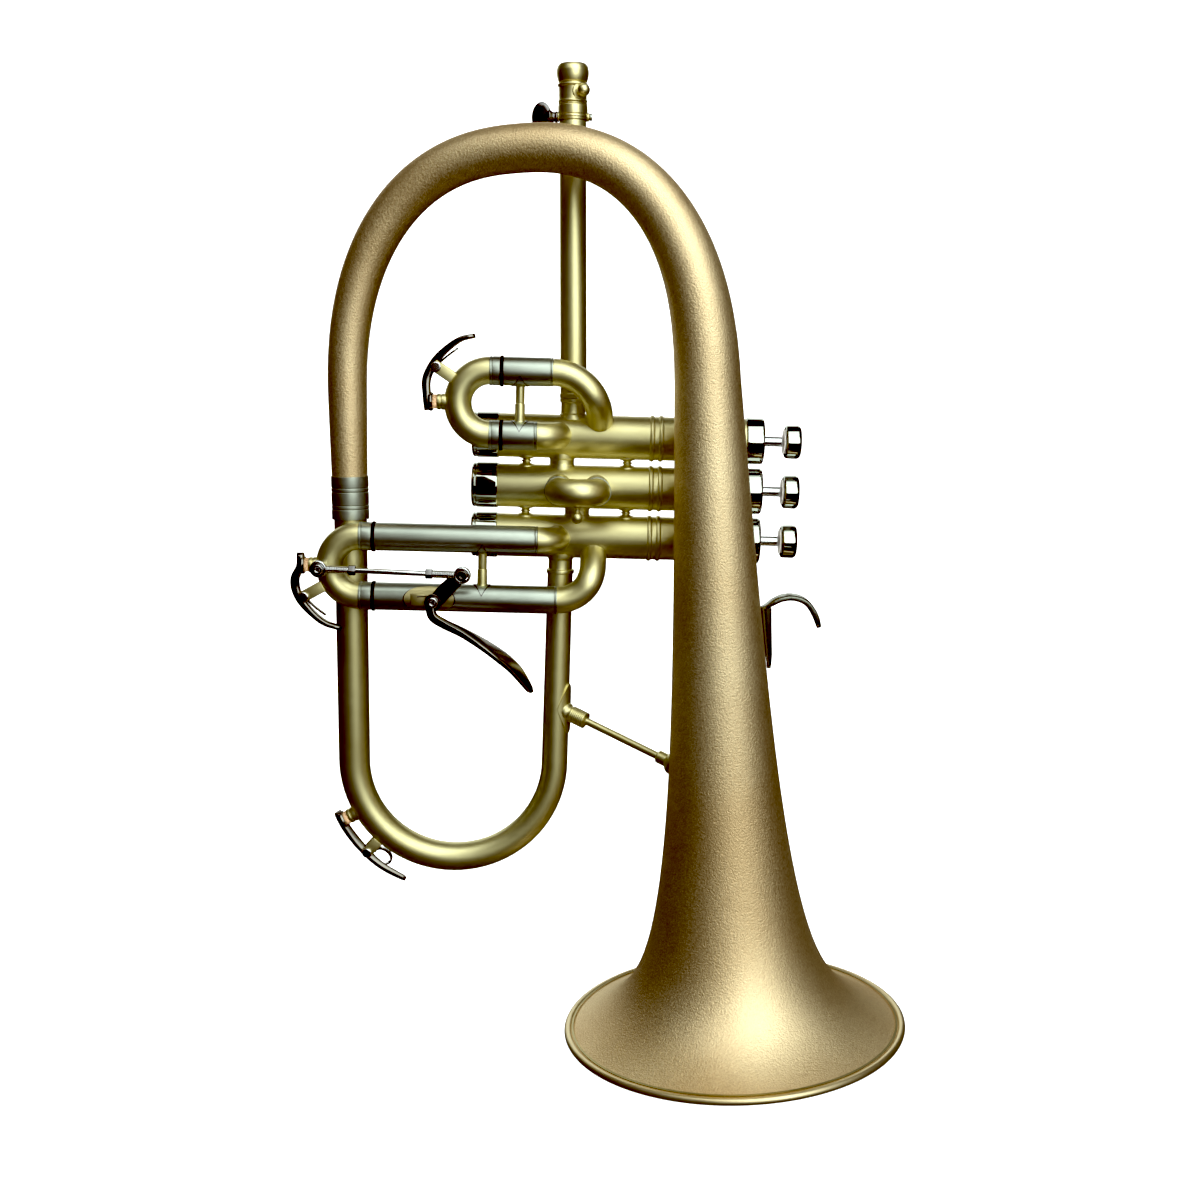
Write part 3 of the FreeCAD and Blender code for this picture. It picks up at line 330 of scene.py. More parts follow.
def blade(points, widths, thicks, round_tips=(True, True), roundness=0.28, roll=0.0):
    """Flat curved strip through a few points in an XZ plane, its width across Y, rolled by some degrees."""
    cosine, sine = cos(radians(roll)), sin(radians(roll))
    path = smooth_path(points)
    last = len(path) - 1
    lengths = [0.0]
    for before, after in zip(path, path[1:]):
        lengths.append(lengths[-1] + (after - before).length)
    total = lengths[last]

    def along(values, share):
        place = share * (len(values) - 1)
        index = min(int(place), len(values) - 2)
        return values[index] + (values[index + 1] - values[index]) * (place - index)

    frames, sections = [], []
    for index, point in enumerate(path):
        tangent = (path[min(index + 1, last)] - path[max(index - 1, 0)]).normalized()
        normal = tangent.cross(Y) * -1
        frames.append(based(normal * cosine - Y * sine, Y * cosine + normal * sine, tangent, point))
        share = lengths[index] / total
        width, thick = along(widths, share), along(thicks, share)
        for tip, distance in zip(round_tips, (lengths[index], total - lengths[index])):
            if tip and distance < width / 2:
                inset = 1 - distance / (width / 2)
                width *= max(0.12, sqrt(max(0.0, 1 - inset ** 2)))
        sections.append(flat_section(width, thick, roundness))
    return section_skin(frames, sections)


def slab(length, width, height, matrix, ease):
    """Box with rounded edges about a matrix."""
    mesh = bmesh.new()
    bmesh.ops.create_cube(mesh, size=1.0)
    bmesh.ops.scale(mesh, vec=(length, width, height), verts=mesh.verts)
    bmesh.ops.bevel(mesh, geom=mesh.edges[:], offset=ease, segments=3, affect="EDGES", profile=0.5)
    mesh.verts.index_update()
    points = [matrix @ vert.co for vert in mesh.verts]
    faces = [tuple(vert.index for vert in face.verts) for face in mesh.faces]
    mesh.free()
    return points, faces


def patch(radius, thick, reach, half_length, matrix, steps=16, rows=14):
    """Thin plate wrapped on a tube whose axis is Z, its middle on X; reach is its half angle in degrees.

    half_length gives its half length at a share of the reach."""
    points, faces = [], []
    for layer in (radius - 0.1, radius + thick):
        for row in range(rows + 1):
            share = row / rows * 2 - 1
            angle = share * radians(reach)
            half = max(half_length(abs(share)), 0.05)
            for step in range(steps + 1):
                along = (step / steps * 2 - 1) * half
                points.append(matrix @ Vector((layer * cos(angle), layer * sin(angle), along)))
    stride = steps + 1
    layer_size = stride * (rows + 1)
    for row in range(rows):
        for step in range(steps):
            corner = row * stride + step
            quad = (corner, corner + 1, corner + stride + 1, corner + stride)
            faces.append(quad[::-1])
            faces.append(tuple(index + layer_size for index in quad))
    border = list(range(steps)) + [row * stride + steps for row in range(rows)]
    border += [rows * stride + step for step in range(steps, 0, -1)]
    border += [row * stride for row in range(rows, 0, -1)]
    for corner, after in zip(border, border[1:] + border[:1]):
        faces.append((corner, after, after + layer_size, corner + layer_size))
    return points, faces


BORE_WALL = 8.65


def kept_clear(shape, numbers, across="Z"):
    """Shape whose points inside valve bores are drawn back into the casing wall, along Y or Z."""
    points, faces = [Vector(point) for point in shape[0]], shape[1]
    for number in numbers:
        centre = valve_centre(number).z
        for point in points:
            height = point.z - centre
            if hypot(point.y, height) < BORE_WALL:
                if across == "Y":
                    point.y = -sqrt(BORE_WALL ** 2 - height ** 2)
                else:
                    point.z = centre + copysign(sqrt(BORE_WALL ** 2 - point.y ** 2), height)
    return points, faces


def placed(name, data):
    """New object in the scene."""
    obj = bpy.data.objects.new(name, data)
    bpy.context.scene.collection.objects.link(obj)
    return obj


def piece(name, shapes, material, *replaces, place=VALVES, body="root", sharp=34):
    """Finished object: shapes in millimetres of a local frame become one mesh that rides on a body."""
    points, faces = joined(shapes)
    mesh = bpy.data.meshes.new(name)
    mesh.from_pydata([(place @ point) * MM for point in points], [], faces)
    mesh.validate()
    work = bmesh.new()
    work.from_mesh(mesh)
    bmesh.ops.recalc_face_normals(work, faces=work.faces)
    work.to_mesh(mesh)
    work.free()
    mesh.shade_smooth()
    mesh.set_sharp_from_angle(angle=radians(sharp))
    mesh.materials.append(material)
    obj = placed(name, mesh)
    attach(obj, body)
    if replaces:
        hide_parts(*replaces)
    return obj


# materials

class Nodes:
    """Small helper that adds and links the nodes of a material or a world."""

    def __init__(self, owner, shader="Principled BSDF"):
        owner.use_nodes = True
        self.tree = owner.node_tree
        self.shader = self.tree.nodes[shader]

    def add(self, kind, links=(), **settings):
        node = self.tree.nodes.new(kind)
        for key, value in settings.items():
            if hasattr(node, key):
                setattr(node, key, value)
            else:
                node.inputs[key.replace("_", " ")].default_value = value
        for socket, source in dict(links).items():
            self.tree.links.new(source, node.inputs[socket])
        return node

    def set(self, **values):
        for key, value in values.items():
            self.shader.inputs[key.replace("_", " ")].default_value = value

    def link(self, source, socket):
        self.tree.links.new(source, self.shader.inputs[socket])

    def grain(self, scale, detail, rough, stretch=(1, 1, 1)):
        place = self.add("ShaderNodeTexCoord").outputs["Object"]
        spread = self.add("ShaderNodeMapping", {"Vector": place}, Scale=stretch)
        return self.add("ShaderNodeTexNoise", {"Vector": spread.outputs["Vector"]},
                        Scale=scale, Detail=detail, Roughness=rough).outputs["Fac"]

    def ramp(self, source, stops):
        node = self.add("ShaderNodeValToRGB", {"Fac": source})
        elements = node.color_ramp.elements
        while len(elements) < len(stops):
            elements.new(0.5)
        for element, (position, colour) in zip(elements, stops):
            element.position = position
            element.color = (*colour, 1)
        return node.outputs["Color"]

    def span(self, source, low, high):
        return self.add("ShaderNodeMapRange", {"Value": source}, To_Min=low, To_Max=high).outputs["Result"]

    def bump(self, source, strength, distance):
        bump = self.add("ShaderNodeBump", {"Height": source}, Strength=strength, Distance=distance)
        self.link(bump.outputs["Normal"], "Normal")


def new_material(name, slot):
    """New material that names its slot, and its nodes."""
    material = bpy.data.materials.new(name)
    material["slot"] = slot
    return material, Nodes(material)


def blasted_metal(name, slot, dark, light, roughness, grain_scale, bump):
    """Bead-blasted metal: fine even grain in colour, gloss and relief, with slow drifts of tone."""
    material, nodes = new_material(name, slot)
    fine = nodes.grain(grain_scale, 3.0, 0.7)
    drift = nodes.grain(14.0, 2.0, 0.5)
    both = nodes.add("ShaderNodeMath", {0: fine, 1: drift}, operation="ADD")
    half = nodes.add("ShaderNodeMath", {0: both.outputs[0]}, operation="MULTIPLY")
    half.inputs[1].default_value = 0.5
    nodes.link(nodes.ramp(half.outputs[0], [(0.40, dark), (0.60, light)]), "Base Color")
    nodes.link(nodes.span(fine, roughness - 0.14, roughness + 0.16), "Roughness")
    nodes.bump(fine, bump, 0.00025)
    nodes.set(Metallic=1.0)
    return material


def brushed_metal(name, slot, dark, light, roughness, bump=0.12):
    """Hand-polished metal with faint scratches and soft stains."""
    material, nodes = new_material(name, slot)
    lines = nodes.grain(420.0, 3.0, 0.65, stretch=(0.35, 1.0, 1.6))
    nodes.link(nodes.ramp(nodes.grain(32.0, 3.0, 0.55), [(0.30, dark), (0.72, light)]), "Base Color")
    nodes.link(nodes.span(lines, roughness - 0.06, roughness + 0.08), "Roughness")
    nodes.bump(nodes.grain(2600.0, 2.0, 0.6), bump, 0.00006)
    nodes.set(Metallic=1.0)
    return material


def polished_metal(name, slot, colour, roughness):
    """Mirror plating with the faintest handling marks."""
    material, nodes = new_material(name, slot)
    marks = nodes.grain(240.0, 4.0, 0.7)
    tint = tuple(channel * 0.94 for channel in colour)
    nodes.link(nodes.ramp(marks, [(0.35, tint), (0.6, colour)]), "Base Color")
    nodes.link(nodes.span(marks, max(0.02, roughness - 0.03), roughness + 0.05), "Roughness")
    nodes.set(Metallic=1.0)
    return material


def plain_stuff(name, slot, dark, light, roughness, scale, bump=0.3, specular=0.5):
    """Rubber, cork, felt or pearl: mottled, and no metal."""
    material, nodes = new_material(name, slot)
    mottle = nodes.grain(scale, 4.0, 0.65)
    nodes.link(nodes.ramp(mottle, [(0.35, dark), (0.65, light)]), "Base Color")
    nodes.link(nodes.span(mottle, roughness - 0.05, roughness + 0.08), "Roughness")
    nodes.bump(mottle, bump, 0.0002)
    nodes.set(Specular_IOR_Level=specular)
    return material


GOLD = blasted_metal("blasted_gold", "satin_gold", (0.80, 0.60, 0.365), (1.0, 0.825, 0.555), 0.50, 1250, 1.0)
BRASS = brushed_metal("satin_brass", "satin_brass", (0.69, 0.63, 0.355), (0.80, 0.745, 0.45), 0.44)
AGED_BRASS = brushed_metal("aged_brass", "satin_brass", (0.42, 0.37, 0.21), (0.54, 0.48, 0.28), 0.42)
PALE_GOLD = brushed_metal("pale_gold", "polished_gold", (0.73, 0.66, 0.365), (0.83, 0.755, 0.46), 0.40, 0.05)
BRIGHT_GOLD = brushed_metal("rim_gold", "polished_gold", (0.72, 0.61, 0.39), (0.83, 0.715, 0.48), 0.44, 0.05)
NICKEL = brushed_metal("nickel_silver", "nickel", (0.31, 0.345, 0.315), (0.41, 0.45, 0.41), 0.38)
SATIN_NICKEL = brushed_metal("satin_nickel", "nickel", (0.37, 0.40, 0.36), (0.47, 0.51, 0.46), 0.46)
CAST_NICKEL = brushed_metal("cast_nickel", "nickel", (0.19, 0.21, 0.185), (0.29, 0.315, 0.28), 0.24)
CHROME = polished_metal("bright_chrome", "chrome_trim", (0.46, 0.49, 0.46), 0.04)
LEVER = polished_metal("lever_plating", "chrome_trim", (0.20, 0.195, 0.185), 0.14)
WORN_PLATE = brushed_metal("worn_plating", "chrome_trim", (0.20, 0.195, 0.18), (0.30, 0.29, 0.27), 0.30)
STEEL = polished_metal("bright_steel", "steel", (0.66, 0.68, 0.71), 0.16)
# dark steel for the clamp paddle and rod nuts; also the sheets of painted shade under the slide post feet and
# the bracket
DARK = brushed_metal("dark_steel_and_painted_shade", "dark_metal", (0.10, 0.10, 0.105), (0.20, 0.20, 0.21), 0.22)
RUBBER = plain_stuff("black_rubber", "black_rubber", (0.002,) * 3, (0.006,) * 3, 0.70, 900.0, 0.3, 0.05)
CORK = plain_stuff("natural_cork", "cork", (0.22, 0.12, 0.055), (0.50, 0.34, 0.20), 0.80, 1400.0, 0.6)
PEARL = plain_stuff("pearl_inlay", "chrome_trim", (0.72, 0.70, 0.66), (0.90, 0.90, 0.90), 0.18, 260.0, 0.02)
FELT = plain_stuff("white_felt", "cork", (0.55, 0.53, 0.50), (0.80, 0.78, 0.74), 0.92, 1800.0, 0.9)


# bell and bow

BELL_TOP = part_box("bell_flare")[1].z / MM
BELL_WALL = 0.6
BOW_RISE = 100.3
pipe_lean = pipe_z.x / pipe_z.z
DEPTH = pipe_origin.y


BELL_TAPER = (26.305, 0.043068)
BELL_FLARES = ((28.586, 11.219), (23.884, 54.942))
LEFT_TUBE_FOOT = -172.65


def bell_radius(height):
    """Outer radius of the bell at a height: a taper and two flares that fade upwards."""
    flares = sum(size * exp(-height / fade) for size, fade in BELL_FLARES)
    return BELL_TAPER[0] - BELL_TAPER[1] * height + flares


def left_tube(height):
    """Axis of the left tube, which leans with the mouthpipe."""
    return Vector((LEFT_TUBE_FOOT + pipe_lean * height, DEPTH, height))


def bow_point(angle):
    """Centre line of the bow: a squared arch from the left tube over to the bell."""
    left = left_tube(BELL_TOP)
    squareness = 2.317 if angle < pi / 2 else 2.426
    across = -cos(angle)
    across = copysign(abs(across) ** (2 / squareness), across)
    rise = BOW_RISE * max(sin(angle), 0.0) ** (2 / squareness)
    share = (1 - across) / 2
    return Vector(((left.x + pipe_lean * rise) * share, DEPTH * share, BELL_TOP + rise))


FERRULE_HEIGHT = 243.0


def bow_radius(share):
    """Outer radius along the bow, from the left tube at 0 to the bell at 1."""
    if share < 0.5:
        return 8.65 + 1.5 * share / 0.5
    return 10.15 + (bell_radius(BELL_TOP) - 10.15) * ((share - 0.5) / 0.5) ** 1.7


def make_bell():
    """Bell and bow as the one skin that the eye sees, inside and out."""
    path = [left_tube(height) for height in (FERRULE_HEIGHT, 254, 265, 276, BELL_TOP - 1)]
    radii = [7.8 + 0.85 * (point.z - FERRULE_HEIGHT) / (BELL_TOP - FERRULE_HEIGHT) for point in path]
    arch, flare, rim_height, segments = 120, 110, 1.6, 128
    path += [bow_point(pi * step / arch) for step in range(1, arch)]
    radii += [bow_radius(step / arch) for step in range(1, arch)]
    for step in range(flare + 1):
        height = rim_height + (BELL_TOP - rim_height) * (1 - step / flare) ** 2.2
        path.append(Vector((0, 0, height)))
        radii.append(bell_radius(height))
    frames = path_frames(path)
    outside = [round_section(radius, segments) for radius in radii]
    inner_frames, inside = [], []
    for index, radius in enumerate(radii):
        before, after = max(index - 1, 0), min(index + 1, len(radii) - 1)
        slope = atan2(radii[after] - radii[before], (path[after] - path[before]).length)
        matrix = frames[index].copy()
        matrix.translation += matrix.to_3x3().col[2] * (BELL_WALL * sin(slope))
        inner_frames.append(matrix)
        inside.append(round_section(radius - BELL_WALL * cos(slope), segments))
    skin = section_skin(frames + inner_frames[::-1], outside + inside[::-1], wrap=True)
    piece("bell_and_bow", [skin], GOLD, "bell_flare", "bell_bow", place=ROW)


def make_rim():
    """Rolled bead around the bell mouth, with the flat that it stands on, and the groove inside it."""
    radius, bead, lift = 74.6, 1.6, 1.5
    outline = [(max(0.0, lift - bead * cosine), radius + bead * sine) for cosine, sine in circle(28)]
    piece("rim_bead", [spun(outline, 192, closed=True)], BRIGHT_GOLD, "bell_rim", place=ROW, sharp=50)
    seam = [spun([(2.55, 72.75), (2.9, 72.3), (3.25, 72.0), (3.0, 72.9)], 192, closed=True)]
    piece("rim_seam", seam, AGED_BRASS, place=ROW)


def make_ferrule():
    """Ferrule with two pairs of turned grooves."""
    middle = left_tube(FERRULE_HEIGHT)
    lean = left_tube(FERRULE_HEIGHT + 10) - middle
    outer, half, cut, width = 8.35, 9.35, 0.22, 0.5
    outline = [(-half, 7.42), (-half, outer)]
    for place in (-5.1, -3.3, 2.7, 4.5):
        outline += [(place, outer), (place + 0.15, outer - cut)]
        outline += [(place + width, outer - cut), (place + width + 0.15, outer)]
    outline += [(half + 0.6, outer), (half + 0.6, 8.04), (0.0, 7.85), (0.0, 7.42)]
    shape = turned(outline, middle, lean, soft=0.1, segments=72, closed=True)
    piece("bell_ferrule_turned", [shape], SATIN_NICKEL, "bell_ferrule", place=ROW, sharp=28)


CROOK_CENTRE = Vector((-54.2, 0, -128.2))
CROOK_BEND = 46.3


def make_main_crook():
    """Lower crook, growing from the valve side to the ferrule."""
    start = Vector((-7.2, 0, -39.4))
    ferrule = VALVES.inverted() @ left_tube(FERRULE_HEIGHT)
    right = CROOK_CENTRE + X * CROOK_BEND
    left = CROOK_CENTRE - X * CROOK_BEND
    path = [start.lerp(right, step / 10) for step in range(10)]
    radii = [5.75 + 0.25 * step / 10 for step in range(10)]
    turns = 44
    for step in range(turns + 1):
        angle = pi * step / turns
        path.append(CROOK_CENTRE + X * (CROOK_BEND * cos(angle)) - Z * (CROOK_BEND * sin(angle)))
        radii.append(6.0 + 1.15 * step / turns)
    path += [left.lerp(ferrule, step / 12) for step in range(1, 13)]
    radii += [7.15 + 0.2 * step / 12 for step in range(1, 13)]
    piece("lower_crook", [bent_tube(path, radii, segments=64)], BRASS, "main_crook")


# mouthpipe end

def make_clamp():
    """Leadpipe, the ribbed clamp at its top, and the thumb screw that tightens it."""
    low = LEADPIPE_FROM
    pipe = [(low, 5.35), (low, 6.15), (low + 1.6, 6.15), (low + 2.0, 5.85), (LEADPIPE_TO, 5.85),
            (LEADPIPE_TO, 5.35)]
    shell = spun(softened(pipe, 0.2, closed=True), 64, True)
    piece("leadpipe_outer", [shell], BRASS, "leadpipe", place=PIPES)
    outline = [(0.0, 5.4), (0.0, 6.25), (1.0, 6.25), (1.2, 6.45), (1.8, 6.45), (2.0, 6.15), (2.3, 6.15),
               (2.5, 6.42), (6.1, 6.42), (6.3, 6.15), (6.6, 6.15), (6.8, 6.42), (7.0, 6.3), (7.0, 5.4)]
    band = turned(outline, (0, 0, LEADPIPE_TO + 0.2), Z, 0.12, 64, True)
    height = (PIPES.inverted() @ centre_of("thumb_screw")).z
    boss = turned([(0, 1.6), (0, 2.2), (0.9, 1.95), (0.9, 1.6)], (-6.0, 0, height), -X, 0.2, 40, True)
    ear = drum(1.8, 1.3, (5.8, 1.0, height), X)
    piece("clamp_band", [band, boss, ear], PALE_GOLD, "clamp_collar", place=PIPES)
    piece("clamp_screw_tip", [drum(1.5, 1.3, (7.1, 1.0, height), X, 0.35, 32)], CHROME, place=PIPES)
    outline = [(0, 0), (0, 2.3), (0.7, 2.5), (1.2, 2.0), (2.2, 2.2), (3.4, 3.2), (4.6, 2.6), (5.4, 0.8),
               (5.4, 0)]
    shank = turned(outline, (-6.6, 0, height), -X, 0.3, 40)
    lens = [(-1.0, 0), (-1.0, 2.9), (-0.85, 3.8), (-0.4, 4.3), (0, 4.4), (0.4, 4.3), (0.85, 3.8), (1.0, 2.9),
            (1.0, 0)]
    stand = facing((-13.6, 0, height), Vector((-0.22, -1, 0.06)), Z) @ Matrix.Diagonal((1.47, 1, 1, 1))
    piece("clamp_paddle", [shank, moved(spun(lens, 56), stand)], DARK, "thumb_screw", place=PIPES,
          body="clamp_screw")


def make_receiver():
    """Mouthpiece receiver with its pull knob, and the pipe that slides in the leadpipe."""
    face = (PIPES.inverted() @ centre_of("mouthpiece_receiver")).z + 13.6
    outline = [(-27.2, 4.65), (-27.2, 5.28), (-16.2, 5.28), (-16.2, 6.3), (-15.8, 6.42), (-15.4, 6.3),
               (-15.2, 6.05), (-9.8, 6.05), (-9.5, 6.5), (-8.9, 6.7), (-8.5, 6.5), (-8.4, 5.5), (-7.9, 5.5),
               (-7.8, 6.1), (-7.4, 6.35), (-6.0, 6.75), (-4.4, 6.98), (-2.8, 6.95), (-1.4, 6.6), (-0.5, 6.0),
               (-0.05, 5.4), (0.0, 5.0), (-0.3, 4.95), (-24.0, 4.95), (-24.2, 4.65)]
    body = turned(outline, (0, 0, face), Z, 0.12, 72, True)
    outward = Vector((0.5, -0.866, 0))
    foot = Z * (face - 12.2)
    outline = [(0, 0), (0, 3.3), (0.9, 3.3), (1.1, 1.6), (2.4, 1.4), (2.4, 0)]
    shapes = [body, turned(outline, foot + outward * 5.4, outward), ball(2.75, foot + outward * 9.4)]
    piece("receiver_turned", shapes, PALE_GOLD, "mouthpiece_receiver", place=PIPES, body="tuning_pipe")
    inner = sleeve(5.3, 4.6, 82.0, (0, 0, face - 109.2), Z)
    piece("mouthpipe_inner", [inner], NICKEL, "mouthpipe", place=PIPES, body="tuning_pipe")


# valves

CAP_BOTTOM, CAP_TOP = -47.6, 82.5
PISTON_BOTTOM = -16.0
BUTTON_FROM = CAP_TOP + 9.6
CASING_RADIUS = 9.7
CASING_GAP = PITCH - 2 * CASING_RADIUS


def valve_centre(number, along=0.0):
    """Point on a valve axis in the valve frame."""
    return Vector((along, 0, (2 - number) * PITCH))


def make_casing(number):
    """Casing tube with two pairs of turned beads."""
    radius, bore = CASING_RADIUS, 8.45
    outline = [(CASING_FROM, bore), (CASING_FROM, radius)]
    for place in (31.6, 35.6):
        outline += [(place, radius), (place + 0.3, radius + 0.5), (place + 1.0, radius + 0.62),
                    (place + 1.7, radius + 0.5), (place + 2.0, radius)]
    outline += [(CASING_TO, radius), (CASING_TO, bore)]
    shape = turned(outline, valve_centre(number), X, soft=0.12, segments=96, closed=True)
    piece(f"casing_{number}", [shape], BRASS, f"valve_casing_{number}")


def make_caps():
    """Screwed caps, bright plated: dished top caps and ribbed bottom caps."""
    top = [(74.4, 9.72), (74.4, 9.95), (74.9, 10.3), (81.4, 10.3), (82.2, 10.05), (CAP_TOP, 9.5),
           (CAP_TOP, 8.5), (82.0, 8.3), (78.6, 8.2), (78.4, 8.0), (78.4, 2.5), (76.5, 2.5), (76.5, 9.72)]
    low = CAP_BOTTOM
    bottom = [(low + 2.2, 0), (low + 2.2, 1.5), (low + 0.3, 1.5), (low, 2.0), (low, 8.6), (low + 0.3, 9.4),
              (low + 0.9, 9.9), (low + 1.5, 10.0), (low + 1.7, 9.75), (low + 2.0, 9.75), (low + 2.3, 10.1),
              (-36.4, 10.2), (-36.0, 10.05), (-35.8, 9.72), (-38.0, 9.72), (-38.0, 7.9), (low + 3.0, 7.9),
              (low + 3.0, 0)]
    for end, outline in (("top", top), ("bottom", bottom)):
        caps = [turned(outline, valve_centre(number), X, 0.1, 96, end == "top") for number in (1, 2, 3)]
        piece(f"{end}_caps_plated", caps, CHROME, f"{end}_caps", sharp=28)


def make_piston_group(number):
    """What rides on a piston: the stem, the felt, the button and its pearl."""
    body = f"valve_{number}"
    seat = valve_centre(number, BUTTON_FROM)
    stem = drum(2.2, BUTTON_FROM + 1.0 - 38.0, valve_centre(number, 38.0), X, 0.2, 40)
    piece(f"stem_{number}", [stem], STEEL, f"valve_stem_{number}", body=body)
    outline = [(0, 0), (0, 4.0), (0.2, 6.6), (0.5, 7.1), (1.0, 7.4), (5.6, 7.5), (6.3, 7.3), (6.9, 6.8),
               (7.2, 6.2), (7.1, 5.9), (6.7, 5.75), (6.6, 0)]
    button = turned(outline, seat, X, 0.12, 72)
    piece(f"button_{number}", [button], CHROME, f"finger_button_{number}", body=body, sharp=30)
    pearl = turned([(6.5, 0), (6.5, 5.6), (6.95, 5.55), (7.15, 4.6), (7.2, 2.4), (7.2, 0)], seat, X, 0.1, 56)
    piece(f"pearl_{number}", [pearl], PEARL, body=body)
    felt = sleeve(5.6, 2.3, 0.5, valve_centre(number, BUTTON_FROM - 0.5), X, 0.15, 48)
    piece(f"felt_{number}", [felt], FELT, body=body)


def make_valve_spring(number):
    """Compression spring under a piston, on a mesh of its own."""
    wire, coil, turns = 0.4, 6.1, 8
    low, high = CAP_BOTTOM + 2.5, PISTON_BOTTOM - 0.5
    path = helix(valve_centre(number, low), turns, 24, (high - low) / turns, (Y * coil, Z * coil), X)
    spring = piece(f"valve_coil_{number}", [bent_rod(path, wire, 10, X)], STEEL, f"valve_spring_{number}")
    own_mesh(spring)


def make_links():
    """Tubes that join the casings and lead in and out, with a soft fillet where they land."""
    sunk = CASING_RADIUS - 2.0
    outline = mirrored([(-2.4, 5.0), (-2.4, 6.0), (0.1, 5.75), (0.5, 5.45)], CASING_GAP)
    shapes = []
    for number, place in ((1, -7.45), (2, -0.2)):
        foot = valve_centre(number, place) - Z * CASING_RADIUS
        shapes.append(kept_clear(turned(outline, foot, -Z, 0.3, 56, True), (number, number + 1)))
    inlet_end = VALVES.inverted() @ (PIPES @ Vector((0, 0, LEADPIPE_FROM - 0.25)))
    for number, start, end, bead in ((1, valve_centre(1, -2.98) + Z * sunk, inlet_end, 5.95),
                                     (3, valve_centre(3, -7.15) - Z * sunk, Vector((-7.15, 0, -39.4)), 6.2)):
        length = (end - start).length
        outline = [(0, 4.9), (0, 6.4), (2.1, 6.0), (2.8, 5.45), (length - 2.0, 5.4), (length - 1.9, bead),
                   (length - 0.9, bead + 0.1), (length, bead), (length, 4.9)]
        shapes.append(kept_clear(turned(outline, start, end - start, 0.25, 56, True), (number,)))
    piece("valve_knuckles", shapes, BRASS, "valve_links")


def make_casing_posts():
    """Turned braces between the casings, each with a bead at its middle."""
    middle = CASING_GAP / 2
    outline = mirrored([(-1.3, 0), (-1.3, 4.3), (-0.4, 4.2), (0.15, 3.2), (0.55, 1.9), (middle - 0.45, 1.6),
                        (middle - 0.3, 2.2)], CASING_GAP)
    posts = []
    for number in (1, 2):
        for place in (-23.4, 21.9):
            foot = valve_centre(number, place) - Z * CASING_RADIUS
            posts.append(kept_clear(turned(outline, foot, -Z, 0.12, 40), (number, number + 1)))
    piece("casing_posts", posts, BRASS, "casing_braces")


# slides

SLIDE_DEPTH = -17.0
CROOK_RADIUS = 6.0
SLEEVE_RADIUS = 6.1
RING_WIDTH = 1.45
FIRST = {"name": "first", "upper": 50.9, "lower": 23.2, "bend_centre": -39.2, "collar_end": -34.8,
         "ring_end": -33.3, "upper_end": -11.8, "lower_end": -18.4}
THIRD = {"name": "third", "upper": -22.7, "lower": -49.25, "bend_centre": -95.7, "collar_end": -91.2,
         "ring_end": -88.7, "upper_end": -17.2, "lower_end": -8.1}


def make_slide(slide):
    """Sleeves on the horn; legs, collars, black rings and crook on the slide."""
    name = slide["name"]
    body = f"{name}_slide"
    sleeve_from, collar_from = slide["ring_end"], slide["bend_centre"]
    collar_to = sleeve_from - RING_WIDTH
    groove = collar_from + 0.9
    collar = [(collar_from, 5.66), (collar_from, 6.3), (groove, 6.3), (groove + 0.1, 6.1),
              (groove + 0.35, 6.1), (groove + 0.45, 6.3), (collar_to - 0.1, 6.3), (collar_to, 6.2),
              (collar_to, 5.66)]
    bumper = mirrored([(collar_to + 0.03, 5.7), (collar_to + 0.03, 6.72)], collar_to + sleeve_from - 0.03)
    sleeves, legs, collars, bumpers = [], [], [], []
    for row in ("upper", "lower"):
        height, end = slide[row], slide[row + "_end"]
        origin = Vector((0, SLIDE_DEPTH, height))
        outline = [(sleeve_from, 5.7), (sleeve_from, 6.1), (sleeve_from + 0.2, 6.2), (end - 1.3, 6.2),
                   (end - 1.15, 6.0), (end - 0.85, 6.0), (end - 0.7, 6.2), (end, 6.2), (end, 5.7)]
        sleeves.append(turned(outline, origin, X, 0.08, 64, True))
        legs.append(sleeve(5.65, 5.2, end - 0.6 - collar_from, (collar_from, SLIDE_DEPTH, height), X))
        collars.append(turned(collar, origin, X, 0.08, 64, True))
        bumpers.append(turned(bumper, origin, X, 0.35, 64, True))
    piece(f"{name}_sleeves", sleeves, NICKEL, f"{name}_slide_sleeves")
    piece(f"{name}_legs", legs, NICKEL, f"{name}_slide_legs", body=body)
    piece(f"{name}_collars", collars, NICKEL, f"{name}_slide_rings", body=body)
    piece(f"{name}_bumpers", bumpers, RUBBER, body=body)
    upper, lower = slide["upper"], slide["lower"]
    bend = (upper - lower) / 2
    corners = [(collar_from, upper), (collar_from - bend, upper), (collar_from - bend, lower),
               (collar_from, lower)]
    crook = bent_tube(rounded_path(at_depth(corners, SLIDE_DEPTH), bend, 4.0), CROOK_RADIUS, 0.7, 64)
    piece(f"{name}_crook", [crook], BRASS, f"{name}_slide_crook", body=body)


ELBOW_ENTRY = 7.6
ELBOW_TURN = 14.0
ELBOW_RISE = 11.0


